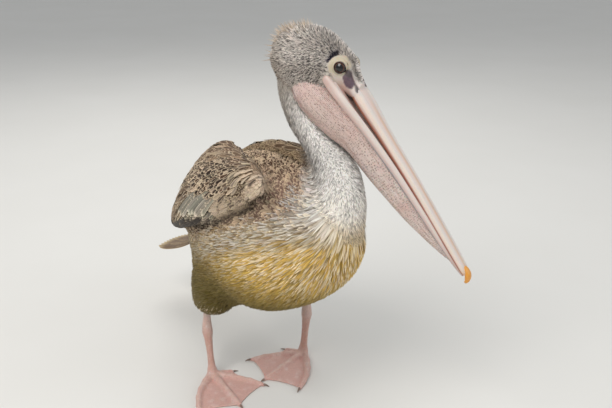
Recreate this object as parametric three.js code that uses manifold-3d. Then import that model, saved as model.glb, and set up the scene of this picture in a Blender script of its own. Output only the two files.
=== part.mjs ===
// A pink-backed pelican in its first plumage, standing at ease with its bill lowered to its chest.
// Millimetres. X is the way the body faces, Y is the bird's left and Z is up, with the floor at Z = 0.
// Every feathered solid reaches to the tips of its feathers.
import * as THREE from "three";
import { mergeVertices } from "three/addons/utils/BufferGeometryUtils.js";
import Module from "manifold-3d";

const wasm = await Module();
wasm.setup();

// Driving dimensions
const GAP = 0.3; // between two solids that touch in life
const FLOOR = 0;
const STANCE = 83; // from the middle of the body to each ankle

const SKULL_CENTRE = new THREE.Vector3(107, 52, 533);
const HEAD_TURN = 35; // degrees to the bird's left
const BILL_DROP = 56.9; // degrees below level
const BILL_ROOT = new THREE.Vector3(79, 0, -20); // where the ridge leaves the feathers, in the head's frame
const BILL_LENGTH = 317;
const WING_SETTLE = { [-1]: 0, 1: 8 }; // the left wing lies lower than the right
const EYE_RADIUS = 10.5;
const EYE_PLACE = new THREE.Vector3(49, 18.5, 0.5); // in the head's frame, one on each side

const TOE_LENGTH = { outer: 114, middle: 108, inner: 94, hind: 36 }; // without the claws
const TOE_SPREAD = { outer: -34, middle: 0, inner: 40, hind: 78 }; // degrees inward from the middle toe
const TOE_BOW = { outer: 10, middle: 0, inner: -3, hind: 0 }; // how far each curves outward midway
const CLAW_LENGTH = 10;
const WEB_THICKNESS = 2.4;

const FEATHERS = { breast: 0xb9ad78, back: 0x857a6b, head: 0xb5b0a8, wing: 0x8d8172, flight: 0x5a5048 };
const BARE = {
  bill: 0xdcc3b2,
  pouch: 0xd3a590,
  nail: 0xdf9d3a,
  leg: 0xc98f7f,
  claw: 0x6b5a50,
  eye: 0x2a1c14,
};

const radians = THREE.MathUtils.degToRad;

// Frames of the head and of the bill, each with X forward, Y to the bird's left and Z up or along the back
const headFrame = new THREE.Matrix4().makeRotationZ(radians(HEAD_TURN)).setPosition(SKULL_CENTRE);
const billFrame = headFrame
  .clone()
  .multiply(new THREE.Matrix4().makeRotationY(radians(BILL_DROP)).setPosition(BILL_ROOT));

// --- Solids ---------------------------------------------------------------------------------------

function solidOf(geometry, frame) {
  const bare = geometry.clone();
  bare.deleteAttribute("normal");
  bare.deleteAttribute("uv");
  if (frame) bare.applyMatrix4(frame);
  const welded = mergeVertices(bare, 1e-3);
  return new wasm.Manifold(
    new wasm.Mesh({
      numProp: 3,
      vertProperties: Float32Array.from(welded.attributes.position.array),
      triVerts: Uint32Array.from(welded.index.array),
    }),
  );
}

function joined(solids) {
  return solids.reduce((whole, solid) => whole.add(solid));
}

function clearOf(solid, ...neighbours) {
  return neighbours.reduce((rest, neighbour) => rest.subtract(neighbour), solid);
}

// The main body of a solid, without the slivers that a cut leaves beside it
function mainBody(solid) {
  return solid.decompose().reduce((best, piece) => (piece.volume() > best.volume() ? piece : best));
}

// A body swept through stations. Each has a centre, a half width, and a height above and below it.
// swell makes it larger all round, to cut its seat in a neighbour. A squareness under 1 fills the corners.
function sweep(stations, options = {}) {
  const { around = 16, along = 12, up = [0, 0, 1], swell = 0, squareness = 1, frame } = options;
  const centres = new THREE.CatmullRomCurve3(stations.map((s) => new THREE.Vector3(...s.at)));
  const sizes = new THREE.CatmullRomCurve3(
    stations.map((s) => new THREE.Vector3(s.side, s.over, s.under ?? s.over)),
  );
  const geometry = new THREE.CylinderGeometry(1, 1, 1, around, along, false);
  const points = geometry.attributes.position;
  const crest = new THREE.Vector3(...up);
  for (let i = 0; i < points.count; i++) {
    const t = points.getY(i) + 0.5;
    const tangent = centres.getTangent(t);
    const side = tangent.clone().cross(crest).normalize();
    const top = side.clone().cross(tangent).normalize();
    const size = sizes.getPoint(t).addScalar(swell);
    const wide = Math.sign(points.getX(i)) * Math.abs(points.getX(i)) ** squareness;
    const tall = Math.sign(points.getZ(i)) * Math.abs(points.getZ(i)) ** squareness;
    const across = wide * size.x;
    const height = tall * (tall > 0 ? size.y : size.z);
    const end = (t < 1e-6 ? -swell : 0) + (t > 1 - 1e-6 ? swell : 0);
    const place = centres
      .getPoint(t)
      .addScaledVector(side, across)
      .addScaledVector(top, height)
      .addScaledVector(tangent, end);
    points.setXYZ(i, place.x, place.y, place.z);
  }
  return solidOf(geometry, frame);
}

// The same stations on the bird's other side
function mirrored(stations) {
  return stations.map((s) => ({ ...s, at: [s.at[0], -s.at[1], s.at[2]] }));
}

function onSide(stations, side) {
  return side > 0 ? stations : mirrored(stations);
}

// A block that takes away everything beyond a plane
function beyond(point, direction) {
  const size = 900;
  const block = new THREE.BoxGeometry(size, size, size);
  block.translate(0, 0, size / 2);
  const turn = new THREE.Quaternion().setFromUnitVectors(
    new THREE.Vector3(0, 0, 1),
    new THREE.Vector3(...direction).normalize(),
  );
  return solidOf(block, new THREE.Matrix4().makeRotationFromQuaternion(turn).setPosition(...point));
}

// Two lengths of one body, parted by a thin cut
function parted(solid, point, direction) {
  const away = new THREE.Vector3(...direction).normalize();
  const start = new THREE.Vector3(...point);
  const near = start.clone().addScaledVector(away, -GAP / 2).toArray();
  const far = start.clone().addScaledVector(away, GAP / 2).toArray();
  return [
    solid.subtract(beyond(near, away.toArray())),
    solid.subtract(beyond(far, away.clone().negate().toArray())),
  ];
}

// --- Trunk, tail and neck -------------------------------------------------------------------------

function trunk(swell = 0) {
  const stations = [
    { at: [-234, 0, 188], side: 14, over: 8, under: 14 },
    { at: [-200, 0, 200], side: 38, over: 27, under: 41 },
    { at: [-140, 0, 224], side: 66, over: 64, under: 73 },
    { at: [-70, 0, 248], side: 93, over: 98, under: 111 },
    { at: [0, 0, 266], side: 107, over: 111, under: 133 },
    { at: [70, 5, 282], side: 109, over: 104, under: 134 },
    { at: [130, 15, 294], side: 97, over: 86, under: 117 },
    { at: [178, 28, 306], side: 77, over: 62, under: 91 },
    { at: [212, 38, 316], side: 53, over: 38, under: 58 },
    { at: [232, 44, 320], side: 18, over: 14, under: 24 },
  ];
  return sweep(stations, { around: 24, along: 17, swell, squareness: 0.82 });
}

function neck(swell = 0) {
  const stations = [
    { at: [176, 32, 272], side: 52, over: 46 },
    { at: [196, 47, 333], side: 43, over: 41 },
    { at: [163, 61, 381], side: 34, over: 35 },
    { at: [115, 61, 417], side: 30, over: 32, under: 34 },
    { at: [86, 52, 455], side: 32, over: 31, under: 41 },
    { at: [81, 46, 496], side: 32, over: 29, under: 45 },
    { at: [89, 45, 527], side: 27, over: 22, under: 42 },
  ];
  return sweep(stations, { around: 18, along: 14, up: [0.82, 0.57, 0], swell });
}

function tail(swell = 0) {
  const stations = [
    { at: [-178, 0, 204], side: 30, over: 14 },
    { at: [-230, 0, 178], side: 46, over: 9 },
    { at: [-300, 0, 140], side: 62, over: 5 },
    { at: [-352, 0, 112], side: 68, over: 3 },
    { at: [-374, 0, 100], side: 52, over: 2 },
  ];
  return sweep(stations, { around: 12, along: 6, swell });
}

// --- Wings ----------------------------------------------------------------------------------------

// A folded wing lies along the flank as a lens, from the wrist at the shoulder to the tips over the tail.
function wing(side, swell = 0) {
  const stations = [
    { at: [178, 62, 376], side: 8, over: 10, under: 12 },
    { at: [152, 66, 377], side: 19, over: 30, under: 40 },
    { at: [105, 71, 370], side: 25, over: 44, under: 61 },
    { at: [50, 75, 357], side: 27, over: 59, under: 77 },
    { at: [-10, 74, 341], side: 28, over: 74, under: 85 },
    { at: [-75, 68, 312], side: 28, over: 80, under: 84 },
    { at: [-140, 53, 270], side: 23, over: 72, under: 72 },
    { at: [-193, 32, 229], side: 16, over: 50, under: 47 },
    { at: [-230, 19, 195], side: 10, over: 29, under: 27 },
    { at: [-254, 12, 170], side: 4, over: 10, under: 10 },
  ];
  const settled = stations.map(({ at: [x, y, z], ...sizes }) => {
    return { at: [x, y, z - WING_SETTLE[side]], ...sizes };
  });
  return sweep(onSide(settled, side), { around: 16, along: 14, up: [0, -0.62 * side, 0.79], swell });
}

// --- Head and bill --------------------------------------------------------------------------------

function head(swell = 0) {
  const stations = [
    { at: [-62, 0, -19], side: 12, over: 14 },
    { at: [-51, 0, -10], side: 26, over: 33 },
    { at: [-33, 0, -3], side: 34, over: 46 },
    { at: [-8, 0, -2], side: 37, over: 50 },
    { at: [18, 0, -6], side: 33, over: 45 },
    { at: [42, 0, -13], side: 27, over: 36 },
    { at: [61, 0, -23], side: 21, over: 25 },
    { at: [74, 0, -36], side: 17, over: 15 },
  ];
  return sweep(stations, { around: 16, along: 11, swell, frame: headFrame });
}

function eye(side, swell = 0) {
  const ball = new THREE.SphereGeometry(EYE_RADIUS + swell, 12, 8);
  ball.translate(EYE_PLACE.x, side * EYE_PLACE.y, EYE_PLACE.z);
  return solidOf(ball, headFrame);
}

// Ragged plumes down the back of the head
function crest() {
  const plumes = [
    { root: [-6, 0, 40], tip: [-20, 4, 60], width: 9 },
    { root: [-26, 3, 36], tip: [-44, -4, 53], width: 10 },
    { root: [-40, -2, 24], tip: [-61, 5, 36], width: 10 },
    { root: [-47, 2, 8], tip: [-72, -3, 12], width: 9 },
    { root: [-50, -1, -10], tip: [-71, 3, -14], width: 8 },
  ];
  const fringe = plumes.map(({ root, tip, width }) => {
    const middle = root.map((value, axis) => (value + tip[axis]) / 2);
    const stations = [
      { at: root, side: width * 1.5, over: width },
      { at: middle, side: width, over: width * 0.7 },
      { at: tip, side: 1, over: 1 },
    ];
    return sweep(stations, { around: 6, along: 3, up: [0, 1, 0], frame: headFrame });
  });
  const mane = [
    { at: [4, 0, 46], side: 6, over: 9 },
    { at: [-30, 0, 43], side: 9, over: 15 },
    { at: [-52, 0, 26], side: 10, over: 16 },
    { at: [-64, 0, 5], side: 9, over: 14 },
    { at: [-67, 0, -18], side: 7, over: 9 },
  ];
  return joined([sweep(mane, { around: 8, along: 6, up: [0, 1, 0], frame: headFrame }), ...fringe]);
}

function upperBill(swell = 0) {
  const stations = [
    { at: [-16, 0, -13], side: 19, over: 10, under: 12 },
    { at: [18, 0, -12], side: 20, over: 9, under: 10 },
    { at: [80, 0, -10.5], side: 15, over: 7, under: 7 },
    { at: [160, 0, -6.5], side: 13, over: 6, under: 5.5 },
    { at: [230, 0, -5], side: 12.5, over: 5, under: 4 },
    { at: [BILL_LENGTH - 34, 0, -4], side: 11.5, over: 4, under: 3.5 },
    { at: [BILL_LENGTH - 14, 0, -4.5], side: 8, over: 3, under: 3 },
  ];
  return sweep(stations, { around: 14, along: 11, swell, frame: billFrame });
}

// The hooked nail at the tip
function nail(swell = 0) {
  const stations = [
    { at: [BILL_LENGTH - 36, 0, -0.5], side: 4, over: 2.5 },
    { at: [BILL_LENGTH - 20, 0, -1.5], side: 7, over: 5 },
    { at: [BILL_LENGTH - 6, 0, -5], side: 6, over: 5 },
    { at: [BILL_LENGTH - 2, 0, -11], side: 4, over: 3.5 },
    { at: [BILL_LENGTH - 4, 0, -16], side: 1.5, over: 1.5 },
  ];
  return sweep(stations, { around: 8, along: 6, swell, frame: billFrame });
}

// The two bowed bones of the lower bill, joined at the tip
function lowerBill(swell = 0) {
  const branch = [
    { at: [-32, 29, -38], side: 4, over: 7 },
    { at: [13, 28, -31], side: 4.5, over: 7 },
    { at: [60, 22, -25.5], side: 4, over: 6.5 },
    { at: [126, 17, -19], side: 3.5, over: 6 },
    { at: [200, 13, -14], side: 3.2, over: 4.8 },
    { at: [BILL_LENGTH - 54, 8, -11], side: 3, over: 3.8 },
    { at: [BILL_LENGTH - 14, -1, -10.5], side: 3, over: 3 },
  ];
  return joined([1, -1].map((side) => {
    return sweep(onSide(branch, side), { around: 6, along: 9, swell, frame: billFrame });
  }));
}

function pouch(swell = 0) {
  const stations = [
    { at: [-60, 0, -80], side: 10, over: 12, under: 13 },
    { at: [-45, 0, -77], side: 29, over: 26, under: 30 },
    { at: [-12, 0, -68], side: 36, over: 33, under: 36 },
    { at: [22, 0, -57], side: 33, over: 29, under: 36 },
    { at: [60, 0, -43], side: 25, over: 20, under: 35 },
    { at: [123, 0, -37], side: 18, over: 19, under: 28 },
    { at: [185, 0, -29], side: 12, over: 15, under: 21 },
    { at: [232, 0, -20], side: 9, over: 9, under: 14 },
    { at: [278, 0, -13.5], side: 4.5, over: 3, under: 4 },
  ];
  return sweep(stations, { around: 12, along: 12, swell, squareness: 0.85, frame: billFrame });
}

// --- Legs -----------------------------------------------------------------------------------------

// The two legs differ in step: each has its hock, its ankle and the heading of its middle toe.
const LEGS = {
  right: { side: -1, hock: [-19, 77], ankle: [-3, 9], heading: 4 },
  left: { side: 1, hock: [15, 88], ankle: [1, 9], heading: -63 },
};

function thigh(leg, swell = 0) {
  const y = STANCE * leg.side;
  const [x, z] = leg.hock;
  const stations = [
    { at: [x + 2, y * 0.82, z + 112], side: 36, over: 68 },
    { at: [x + 1, y * 0.84, z + 70], side: 34, over: 60, under: 57 },
    { at: [x - 1, y * 0.9, z + 46], side: 31, over: 49, under: 37 },
    { at: [x, y * 0.95, z + 26], side: 20, over: 29, under: 17 },
  ];
  return sweep(stations, { around: 12, along: 6, up: [1, 0, 0], swell, squareness: 0.85 });
}

function shank(leg, swell = 0) {
  const y = STANCE * leg.side;
  const [hockX, hockZ] = leg.hock;
  const [ankleX, ankleZ] = leg.ankle;
  const between = (share) => [
    THREE.MathUtils.lerp(hockX, ankleX, share),
    y,
    THREE.MathUtils.lerp(hockZ, ankleZ, share),
  ];
  const stations = [
    { at: [hockX + 1, y, hockZ + 30], side: 6, over: 6.5 },
    { at: [hockX - 1, y, hockZ + 12], side: 7.5, over: 8.5 },
    { at: [hockX, y, hockZ], side: 9, over: 10.5 },
    { at: between(0.22), side: 6.5, over: 7.5 },
    { at: between(0.55), side: 5.2, over: 7 },
    { at: between(0.86), side: 6, over: 8 },
    { at: [ankleX, y, ankleZ], side: 9, over: 10 },
    { at: [ankleX, y, ankleZ - 5], side: 7, over: 8 },
  ];
  return sweep(stations, { around: 10, along: 10, up: [1, 0, 0], swell });
}

// A toe's line over the floor, from the ankle to the given share of its length
function toePoint(leg, toe, length) {
  const inward = -leg.side;
  const angle = radians(leg.heading + inward * TOE_SPREAD[toe]);
  const bow = TOE_BOW[toe] * leg.side * Math.sin((Math.PI * Math.max(length, 0)) / TOE_LENGTH[toe]);
  const [ankleX] = leg.ankle;
  return new THREE.Vector2(
    ankleX + Math.cos(angle) * length - Math.sin(angle) * bow,
    STANCE * leg.side + Math.sin(angle) * length + Math.cos(angle) * bow,
  );
}

function toe(leg, name) {
  const length = TOE_LENGTH[name];
  const girth = name === "hind" ? 0.8 : 1;
  const heights = [
    [0.0, 9, 7.5],
    [0.18, 7, 6.2],
    [0.45, 5.4, 5],
    [0.75, 4.6, 4.4],
    [1.0, 3.2, 3],
  ];
  const stations = heights.map(([share, wide, tall]) => {
    const place = toePoint(leg, name, share * length);
    return { at: [place.x, place.y, tall * girth * 0.55], side: wide * girth, over: tall * girth };
  });
  return sweep(stations, { around: 6, along: 5 });
}

// The web joins all four toes, with a hollow edge from each tip to the next.
function web(leg) {
  const names = ["outer", "middle", "inner", "hind"];
  const outline = new THREE.Shape();
  const heel = toePoint(leg, "middle", -4);
  outline.moveTo(heel.x, heel.y);
  names.forEach((name, i) => {
    const tip = toePoint(leg, name, TOE_LENGTH[name] * 0.95);
    if (i === 0) {
      const half = toePoint(leg, name, TOE_LENGTH[name] * 0.45);
      outline.lineTo(half.x, half.y);
      outline.lineTo(tip.x, tip.y);
      return;
    }
    const previous = toePoint(leg, names[i - 1], TOE_LENGTH[names[i - 1]] * 0.95);
    const pull = previous.clone().add(tip).multiplyScalar(0.5).lerp(heel, 0.14);
    outline.quadraticCurveTo(pull.x, pull.y, tip.x, tip.y);
  });
  outline.closePath();
  const plate = new THREE.ExtrudeGeometry(outline, {
    depth: WEB_THICKNESS,
    bevelEnabled: false,
    curveSegments: 5,
  });
  return solidOf(plate);
}

function foot(leg) {
  const toes = Object.keys(TOE_LENGTH).map((name) => toe(leg, name));
  const above = joined([web(leg), ...toes]);
  return clearOf(above, beyond([0, 0, FLOOR], [0, 0, -1]));
}

function claw(leg, name) {
  const scale = name === "hind" ? 0.75 : 1;
  const start = TOE_LENGTH[name] - 1.5;
  const stations = [
    [start, 2.4, 3],
    [start + CLAW_LENGTH * 0.5, 1.8, 3.2],
    [start + CLAW_LENGTH, 0.6, 1.2],
  ].map(([length, wide, height]) => {
    const place = toePoint(leg, name, length);
    return { at: [place.x, place.y, height * scale], side: wide * scale, over: wide * scale };
  });
  return sweep(stations, { around: 5, along: 3 });
}

// --- Assembly -------------------------------------------------------------------------------------

const bird = new THREE.Group();

function place(name, solid, color, roughness = 0.85) {
  const { vertProperties, triVerts } = solid.getMesh();
  const geometry = new THREE.BufferGeometry();
  geometry.setAttribute("position", new THREE.BufferAttribute(Float32Array.from(vertProperties), 3));
  geometry.setIndex(Array.from(triVerts));
  geometry.computeVertexNormals();
  const mesh = new THREE.Mesh(geometry, new THREE.MeshStandardMaterial({ color, roughness, metalness: 0 }));
  mesh.name = name;
  bird.add(mesh);
}

const sides = { right: -1, left: 1 };

place("trunk", trunk(), FEATHERS.breast);
place("tail", clearOf(tail(), trunk(GAP)), FEATHERS.flight);

const neckFree = clearOf(neck(), trunk(GAP), pouch(GAP), lowerBill(GAP));
const [neckLower, neckUpper] = parted(neckFree, [165, 47, 410], [-0.75, -0.1, 0.65]);
place("neck_lower", neckLower, FEATHERS.head);
place("neck_upper", neckUpper, FEATHERS.head);

const skull = clearOf(head(), neck(GAP), eye(1, GAP), eye(-1, GAP));
place("head", skull, FEATHERS.head);
place("crest", mainBody(clearOf(crest(), head(GAP), neck(GAP))), FEATHERS.back);
for (const [name, side] of Object.entries(sides)) {
  place(`eye_${name}`, eye(side), BARE.eye, 0.1);
}

place("bill_upper", clearOf(upperBill(), head(GAP), nail(GAP)), BARE.bill, 0.45);
place("bill_nail", nail(), BARE.nail, 0.35);
place("bill_lower", clearOf(lowerBill(), head(GAP), upperBill(GAP), nail(GAP)), BARE.bill, 0.45);
place("pouch", clearOf(pouch(), head(GAP), lowerBill(GAP), upperBill(GAP)), BARE.pouch, 0.6);

for (const [name, side] of Object.entries(sides)) {
  const otherSide = beyond([0, (side * GAP) / 2, 0], [0, -side, 0]);
  const folded = clearOf(wing(side), trunk(GAP), tail(GAP), neck(GAP), otherSide);
  const [arm, hand] = parted(folded, [-95, 0, 290], [-0.9, 0, -0.43]);
  place(`wing_${name}_arm`, arm, FEATHERS.wing);
  place(`wing_${name}_hand`, hand, FEATHERS.flight);
}

for (const [name, leg] of Object.entries(LEGS)) {
  place(`thigh_${name}`, clearOf(thigh(leg), trunk(GAP), wing(leg.side, GAP)), FEATHERS.breast);
  place(`shank_${name}`, clearOf(shank(leg), thigh(leg, GAP), trunk(GAP)), BARE.leg, 0.6);
  place(`foot_${name}`, clearOf(foot(leg), shank(leg, GAP)), BARE.leg, 0.6);
  for (const toeName of Object.keys(TOE_LENGTH)) {
    const nib = clearOf(claw(leg, toeName), foot(leg), beyond([0, 0, FLOOR], [0, 0, -1]));
    place(`claw_${name}_${toeName}`, nib, BARE.claw, 0.4);
  }
}

// The origin is on the floor, below the middle of the whole bird.
const whole = new THREE.Box3().setFromObject(bird);
const middle = whole.getCenter(new THREE.Vector3());
for (const mesh of bird.children) {
  mesh.geometry.translate(-middle.x, -middle.y, -FLOOR);
}

export default bird;
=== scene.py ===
"""A young pink-backed pelican: skin, plumage, bill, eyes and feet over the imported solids.

Metres, in the row frame: X is the way the body faces, Y is the bird's left, Z is up, with the floor at 0.
"""

import math

import bmesh
import bpy
import numpy as np
from mathutils import Matrix, Vector, noise
from mathutils.bvhtree import BVHTree


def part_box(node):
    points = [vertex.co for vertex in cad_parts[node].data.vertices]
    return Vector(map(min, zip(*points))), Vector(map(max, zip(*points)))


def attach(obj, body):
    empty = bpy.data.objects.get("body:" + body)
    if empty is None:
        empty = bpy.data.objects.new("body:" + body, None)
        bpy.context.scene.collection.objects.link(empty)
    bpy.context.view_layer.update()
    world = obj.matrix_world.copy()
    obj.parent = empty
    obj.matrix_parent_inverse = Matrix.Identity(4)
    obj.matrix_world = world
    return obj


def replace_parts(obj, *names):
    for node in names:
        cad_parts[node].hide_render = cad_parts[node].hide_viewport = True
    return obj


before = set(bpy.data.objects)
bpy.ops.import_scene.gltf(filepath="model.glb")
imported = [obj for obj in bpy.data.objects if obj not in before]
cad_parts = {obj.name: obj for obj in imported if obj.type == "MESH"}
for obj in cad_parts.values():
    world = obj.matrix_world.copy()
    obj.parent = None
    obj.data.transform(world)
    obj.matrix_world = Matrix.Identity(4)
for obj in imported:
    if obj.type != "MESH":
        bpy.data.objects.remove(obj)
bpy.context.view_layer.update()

MM = 0.001
WELD = 1e-5  # m between corners that are one
POLE_WELD = 2e-6
SIDES = {"right": -1, "left": 1}
TOES = ("outer", "middle", "inner", "hind")
UP = Vector((0, 0, 1))

# --- Where the bird's own frames lie ----------------------------------------------------------------

EYE_FORWARD, EYE_UP = 49 * MM, 0.5 * MM  # of the eyes, from the middle of the skull
EYE_RADIUS = 10.5 * MM
EYE_SET_IN = 1.3 * MM  # how much deeper the ball sits than its node
BILL_ROOT = Vector((79, 0, -20)) * MM  # where the ridge of the bill leaves the feathers, in the head's frame
BILL_DROP = math.radians(56.9)
SKULL_IN_BODY = Vector((107, 52, 533)) * MM  # from the floor point between the ankles
STANCE = 83  # mm from the middle of the body to each ankle


def node_centre(name):
    low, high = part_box(name)
    return (low + high) / 2


def head_frame():
    """X ahead along the skull, Y to its left, Z up, from the middle of the skull."""
    right, left = node_centre("eye_right"), node_centre("eye_left")
    aside = (left - right).normalized()
    ahead = aside.cross(UP).normalized()
    matrix = Matrix((ahead, aside, UP)).transposed().to_4x4()
    matrix.translation = (right + left) / 2 - ahead * EYE_FORWARD - UP * EYE_UP
    return matrix


HEAD = head_frame()
BILL = HEAD @ Matrix.Translation(BILL_ROOT) @ Matrix.Rotation(BILL_DROP, 4, "Y")
BODY = Matrix.Translation(HEAD.translation - SKULL_IN_BODY)

# --- Colours ----------------------------------------------------------------------------------------


def linear(code):
    channels = [int(code[i : i + 2], 16) / 255 for i in (0, 2, 4)]
    return np.array([c / 12.92 if c <= 0.04045 else ((c + 0.055) / 1.055) ** 2.4 for c in channels])


PAINT = {
    name: linear(code)
    for name, code in {
        "down_white": "f8f5f0", "down_grey": "dbd5cf", "crown_grey": "f3eae2", "speck_dark": "3a312d",
        "nape_brown": "7f6f5d", "plume_buff": "c0ab86", "neck_pale": "fbf9f6", "chest_cream": "faf1e2",
        "gold": "c6a250", "gold_deep": "7d6220", "cream": "ece0c8", "ash": "7a6c48",
        "flank_olive": "4c4226", "mantle_brown": "47301f", "mantle_pale": "94796a",
        "fringe_sand": "cfb699", "covert_brown": "543c2a", "covert_dark": "2e2119",
        "covert_edge": "d6c1a6", "wrist_cream": "e2cdb5", "scapular": "846d56",
        "scapular_edge": "baa48a", "far_brown": "5c4b35", "mirror_grey": "8a8577", "buff": "bda678",
        "quill_dark": "3b322a", "quill_edge": "6f6252", "thigh_white": "d9cdb4", "skin_cream": "c8bfa6",
        "skin_pink": "d8b3a2", "skin_white": "c9c1b8", "lore_blue": "141326", "lore_mauve": "3d2b45",
        "slate": "5a5566", "horn_pink": "d6b4a8", "horn_white": "e6dbd4", "horn_orange": "c9763f",
        "horn_grey": "8b8f98", "nail_orange": "e39a34", "pouch_pink": "d3bab2", "pouch_beige": "ccbbb2",
        "pouch_red": "a07265", "leg_pink": "c9a092", "web_mauve": "d3aaa0", "claw_horn": "8a7265",
        "gold_low": "82702a", "pale_low": "a8925a", "tomium_rust": "94431f", "horn_amber": "dba66b",
        "ramus_lilac": "cfb4ac", "crest_tan": "b8a184",
    }.items()
}


def blend(a, b, share):
    share = np.clip(np.asarray(share, float), 0, 1)
    return a * (1 - share[..., None]) + b * share[..., None]


def coats(base, *layers):
    """A colour with others laid over it, each a paint's name or a colour, and its share."""
    colour = PAINT[base] if isinstance(base, str) else base
    for paint, share in layers:
        colour = blend(colour, PAINT[paint] if isinstance(paint, str) else paint, share)
    return colour


def ramp(x, low, high):
    """0 below low, 1 above high, smooth between. high may be the lower one."""
    t = np.clip((np.asarray(x, float) - low) / (high - low), 0, 1)
    return t * t * (3 - 2 * t)


# --- Meshes -----------------------------------------------------------------------------------------


def new_object(name, mesh):
    obj = bpy.data.objects.new(name, mesh)
    bpy.context.scene.collection.objects.link(obj)
    return obj


def finish_piece(obj, slot, *materials):
    """Gives the piece its materials and its body."""
    for material in materials:
        obj.data.materials.append(material)
    obj.data.polygons.foreach_set("use_smooth", np.ones(len(obj.data.polygons), bool))
    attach(obj, "root")
    return obj


def positions(mesh):
    co = np.zeros(len(mesh.vertices) * 3)
    mesh.vertices.foreach_get("co", co)
    return co.reshape(-1, 3)


def normals(mesh):
    out = np.zeros(len(mesh.vertices) * 3)
    mesh.vertex_normals.foreach_get("vector", out)
    return out.reshape(-1, 3)


def place_vertices(mesh, co):
    mesh.vertices.foreach_set("co", co.astype(np.float32).ravel())
    mesh.update()


def corner_triples(mesh):
    """The vertices of each triangle of the mesh."""
    mesh.calc_loop_triangles()
    corners = np.zeros(len(mesh.loop_triangles) * 3, int)
    mesh.loop_triangles.foreach_get("vertices", corners)
    return corners.reshape(-1, 3)


def edge_pairs(mesh):
    pairs = np.zeros(len(mesh.edges) * 2, int)
    mesh.edges.foreach_get("vertices", pairs)
    return pairs.reshape(-1, 2)


def spread(values, pairs, rounds):
    """Each vertex's value drawn towards the mean of its neighbours', some rounds over."""
    a, b = pairs.T
    count = len(values)
    degree = np.maximum(np.bincount(pairs.ravel(), minlength=count), 1)
    values = values.copy()
    for _ in range(rounds):
        for axis in range(values.shape[1]):
            column = values[:, axis]
            total = np.bincount(a, column[b], count) + np.bincount(b, column[a], count)
            values[:, axis] = column + 0.5 * (total / degree - column)
    return values


def paint_vertices(mesh, name, colours):
    layer = mesh.color_attributes.new(name, "FLOAT_COLOR", "POINT")
    rgba = np.ones((len(colours), 4), np.float32)
    rgba[:, :3] = colours
    layer.data.foreach_set("color", rgba.ravel())


def tinted(name, mesh, tint, slot, material):
    """A finished piece in one material, with its own colours."""
    paint_vertices(mesh, "tint", tint)
    return finish_piece(new_object(name, mesh), slot, material)


def unit(vectors):
    return vectors / np.maximum(np.linalg.norm(vectors, axis=-1, keepdims=True), 1e-12)


def in_mm(matrix, co):
    """Points of the row frame, in mm in the frame of the matrix."""
    inverse = np.array(matrix.inverted())
    return (co @ inverse[:3, :3].T + inverse[:3, 3]) / MM


def curve_through(points, share):
    """A Catmull-Rom curve through the points, at shares from 0 to 1 of its spans."""
    points = np.asarray(points, float)
    ends = np.vstack([2 * points[0] - points[1], points, 2 * points[-1] - points[-2]])
    t = np.clip(np.asarray(share, float), 0, 1) * (len(points) - 1)
    i = np.minimum(t.astype(int), len(points) - 2)
    t = (t - i)[..., None]
    p0, p1, p2, p3 = (ends[i + k] for k in range(4))
    return 0.5 * (
        2 * p1 + (p2 - p0) * t + (2 * p0 - 5 * p1 + 4 * p2 - p3) * t**2 + (3 * p1 - p0 - 3 * p2 + p3) * t**3
    )


def wrapped_grid(around, along, place, closed=True):
    """A skin from a grid: place(a, s) gives a point for the share a round it and s along it."""
    bm = bmesh.new()
    bm.loops.layers.uv.new("skin")
    bmesh.ops.create_grid(bm, x_segments=around, y_segments=along, size=1, calc_uvs=True)
    grid = np.array([v.co for v in bm.verts])
    points = place((grid[:, 0] + 1) / 2, (grid[:, 1] + 1) / 2)
    for v, point in zip(bm.verts, points):
        v.co = point
    bmesh.ops.remove_doubles(bm, verts=bm.verts, dist=POLE_WELD)
    if closed:
        bmesh.ops.holes_fill(bm, edges=bm.edges, sides=0)
    bmesh.ops.recalc_face_normals(bm, faces=bm.faces)
    return bm


def swept(stations, around, along, frame_matrix, section=None, up=(0, 0, 1)):
    """A body through stations (x, y, z, half width, height above, height below), in mm in its frame.

    section(angle) gives the outline as (across, height) shares. Both ends close to a point.
    """
    stations = np.asarray(stations, float) * MM
    matrix = np.array(frame_matrix)

    def place(a, s):
        at = curve_through(stations[:, :3], s)
        ahead = unit(curve_through(stations[:, :3], s + 1e-3) - curve_through(stations[:, :3], s - 1e-3))
        size = np.maximum(curve_through(stations[:, 3:], s), 1e-6)
        aside = unit(np.cross(np.array(up, float), ahead))
        top = np.cross(ahead, aside)
        angle = 2 * np.pi * a
        across, height = section(angle) if section else (np.cos(angle), np.sin(angle))
        end = np.minimum(1, np.sqrt(np.maximum(0, 1 - (np.abs(2 * s - 1)) ** 24)))
        end = np.where((s < 1e-6) | (s > 1 - 1e-6), 0, end)
        tall = np.where(height > 0, size[:, 1], size[:, 2])
        point = at + aside * (across * size[:, 0] * end)[:, None] + top * (height * tall * end)[:, None]
        return point @ matrix[:3, :3].T + matrix[:3, 3]

    return wrapped_grid(around, along, place)


def mesh_of(bm, name):
    mesh = bpy.data.meshes.new(name)
    bm.to_mesh(mesh)
    bm.free()
    return mesh


def add_parts(bm, parts):
    """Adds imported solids, given by name, and finished shapes."""
    for part in parts:
        if isinstance(part, str):
            bm.from_mesh(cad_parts[part].data)
        else:
            mesh = mesh_of(part, "part")
            bm.from_mesh(mesh)
            bpy.data.meshes.remove(mesh)


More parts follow.
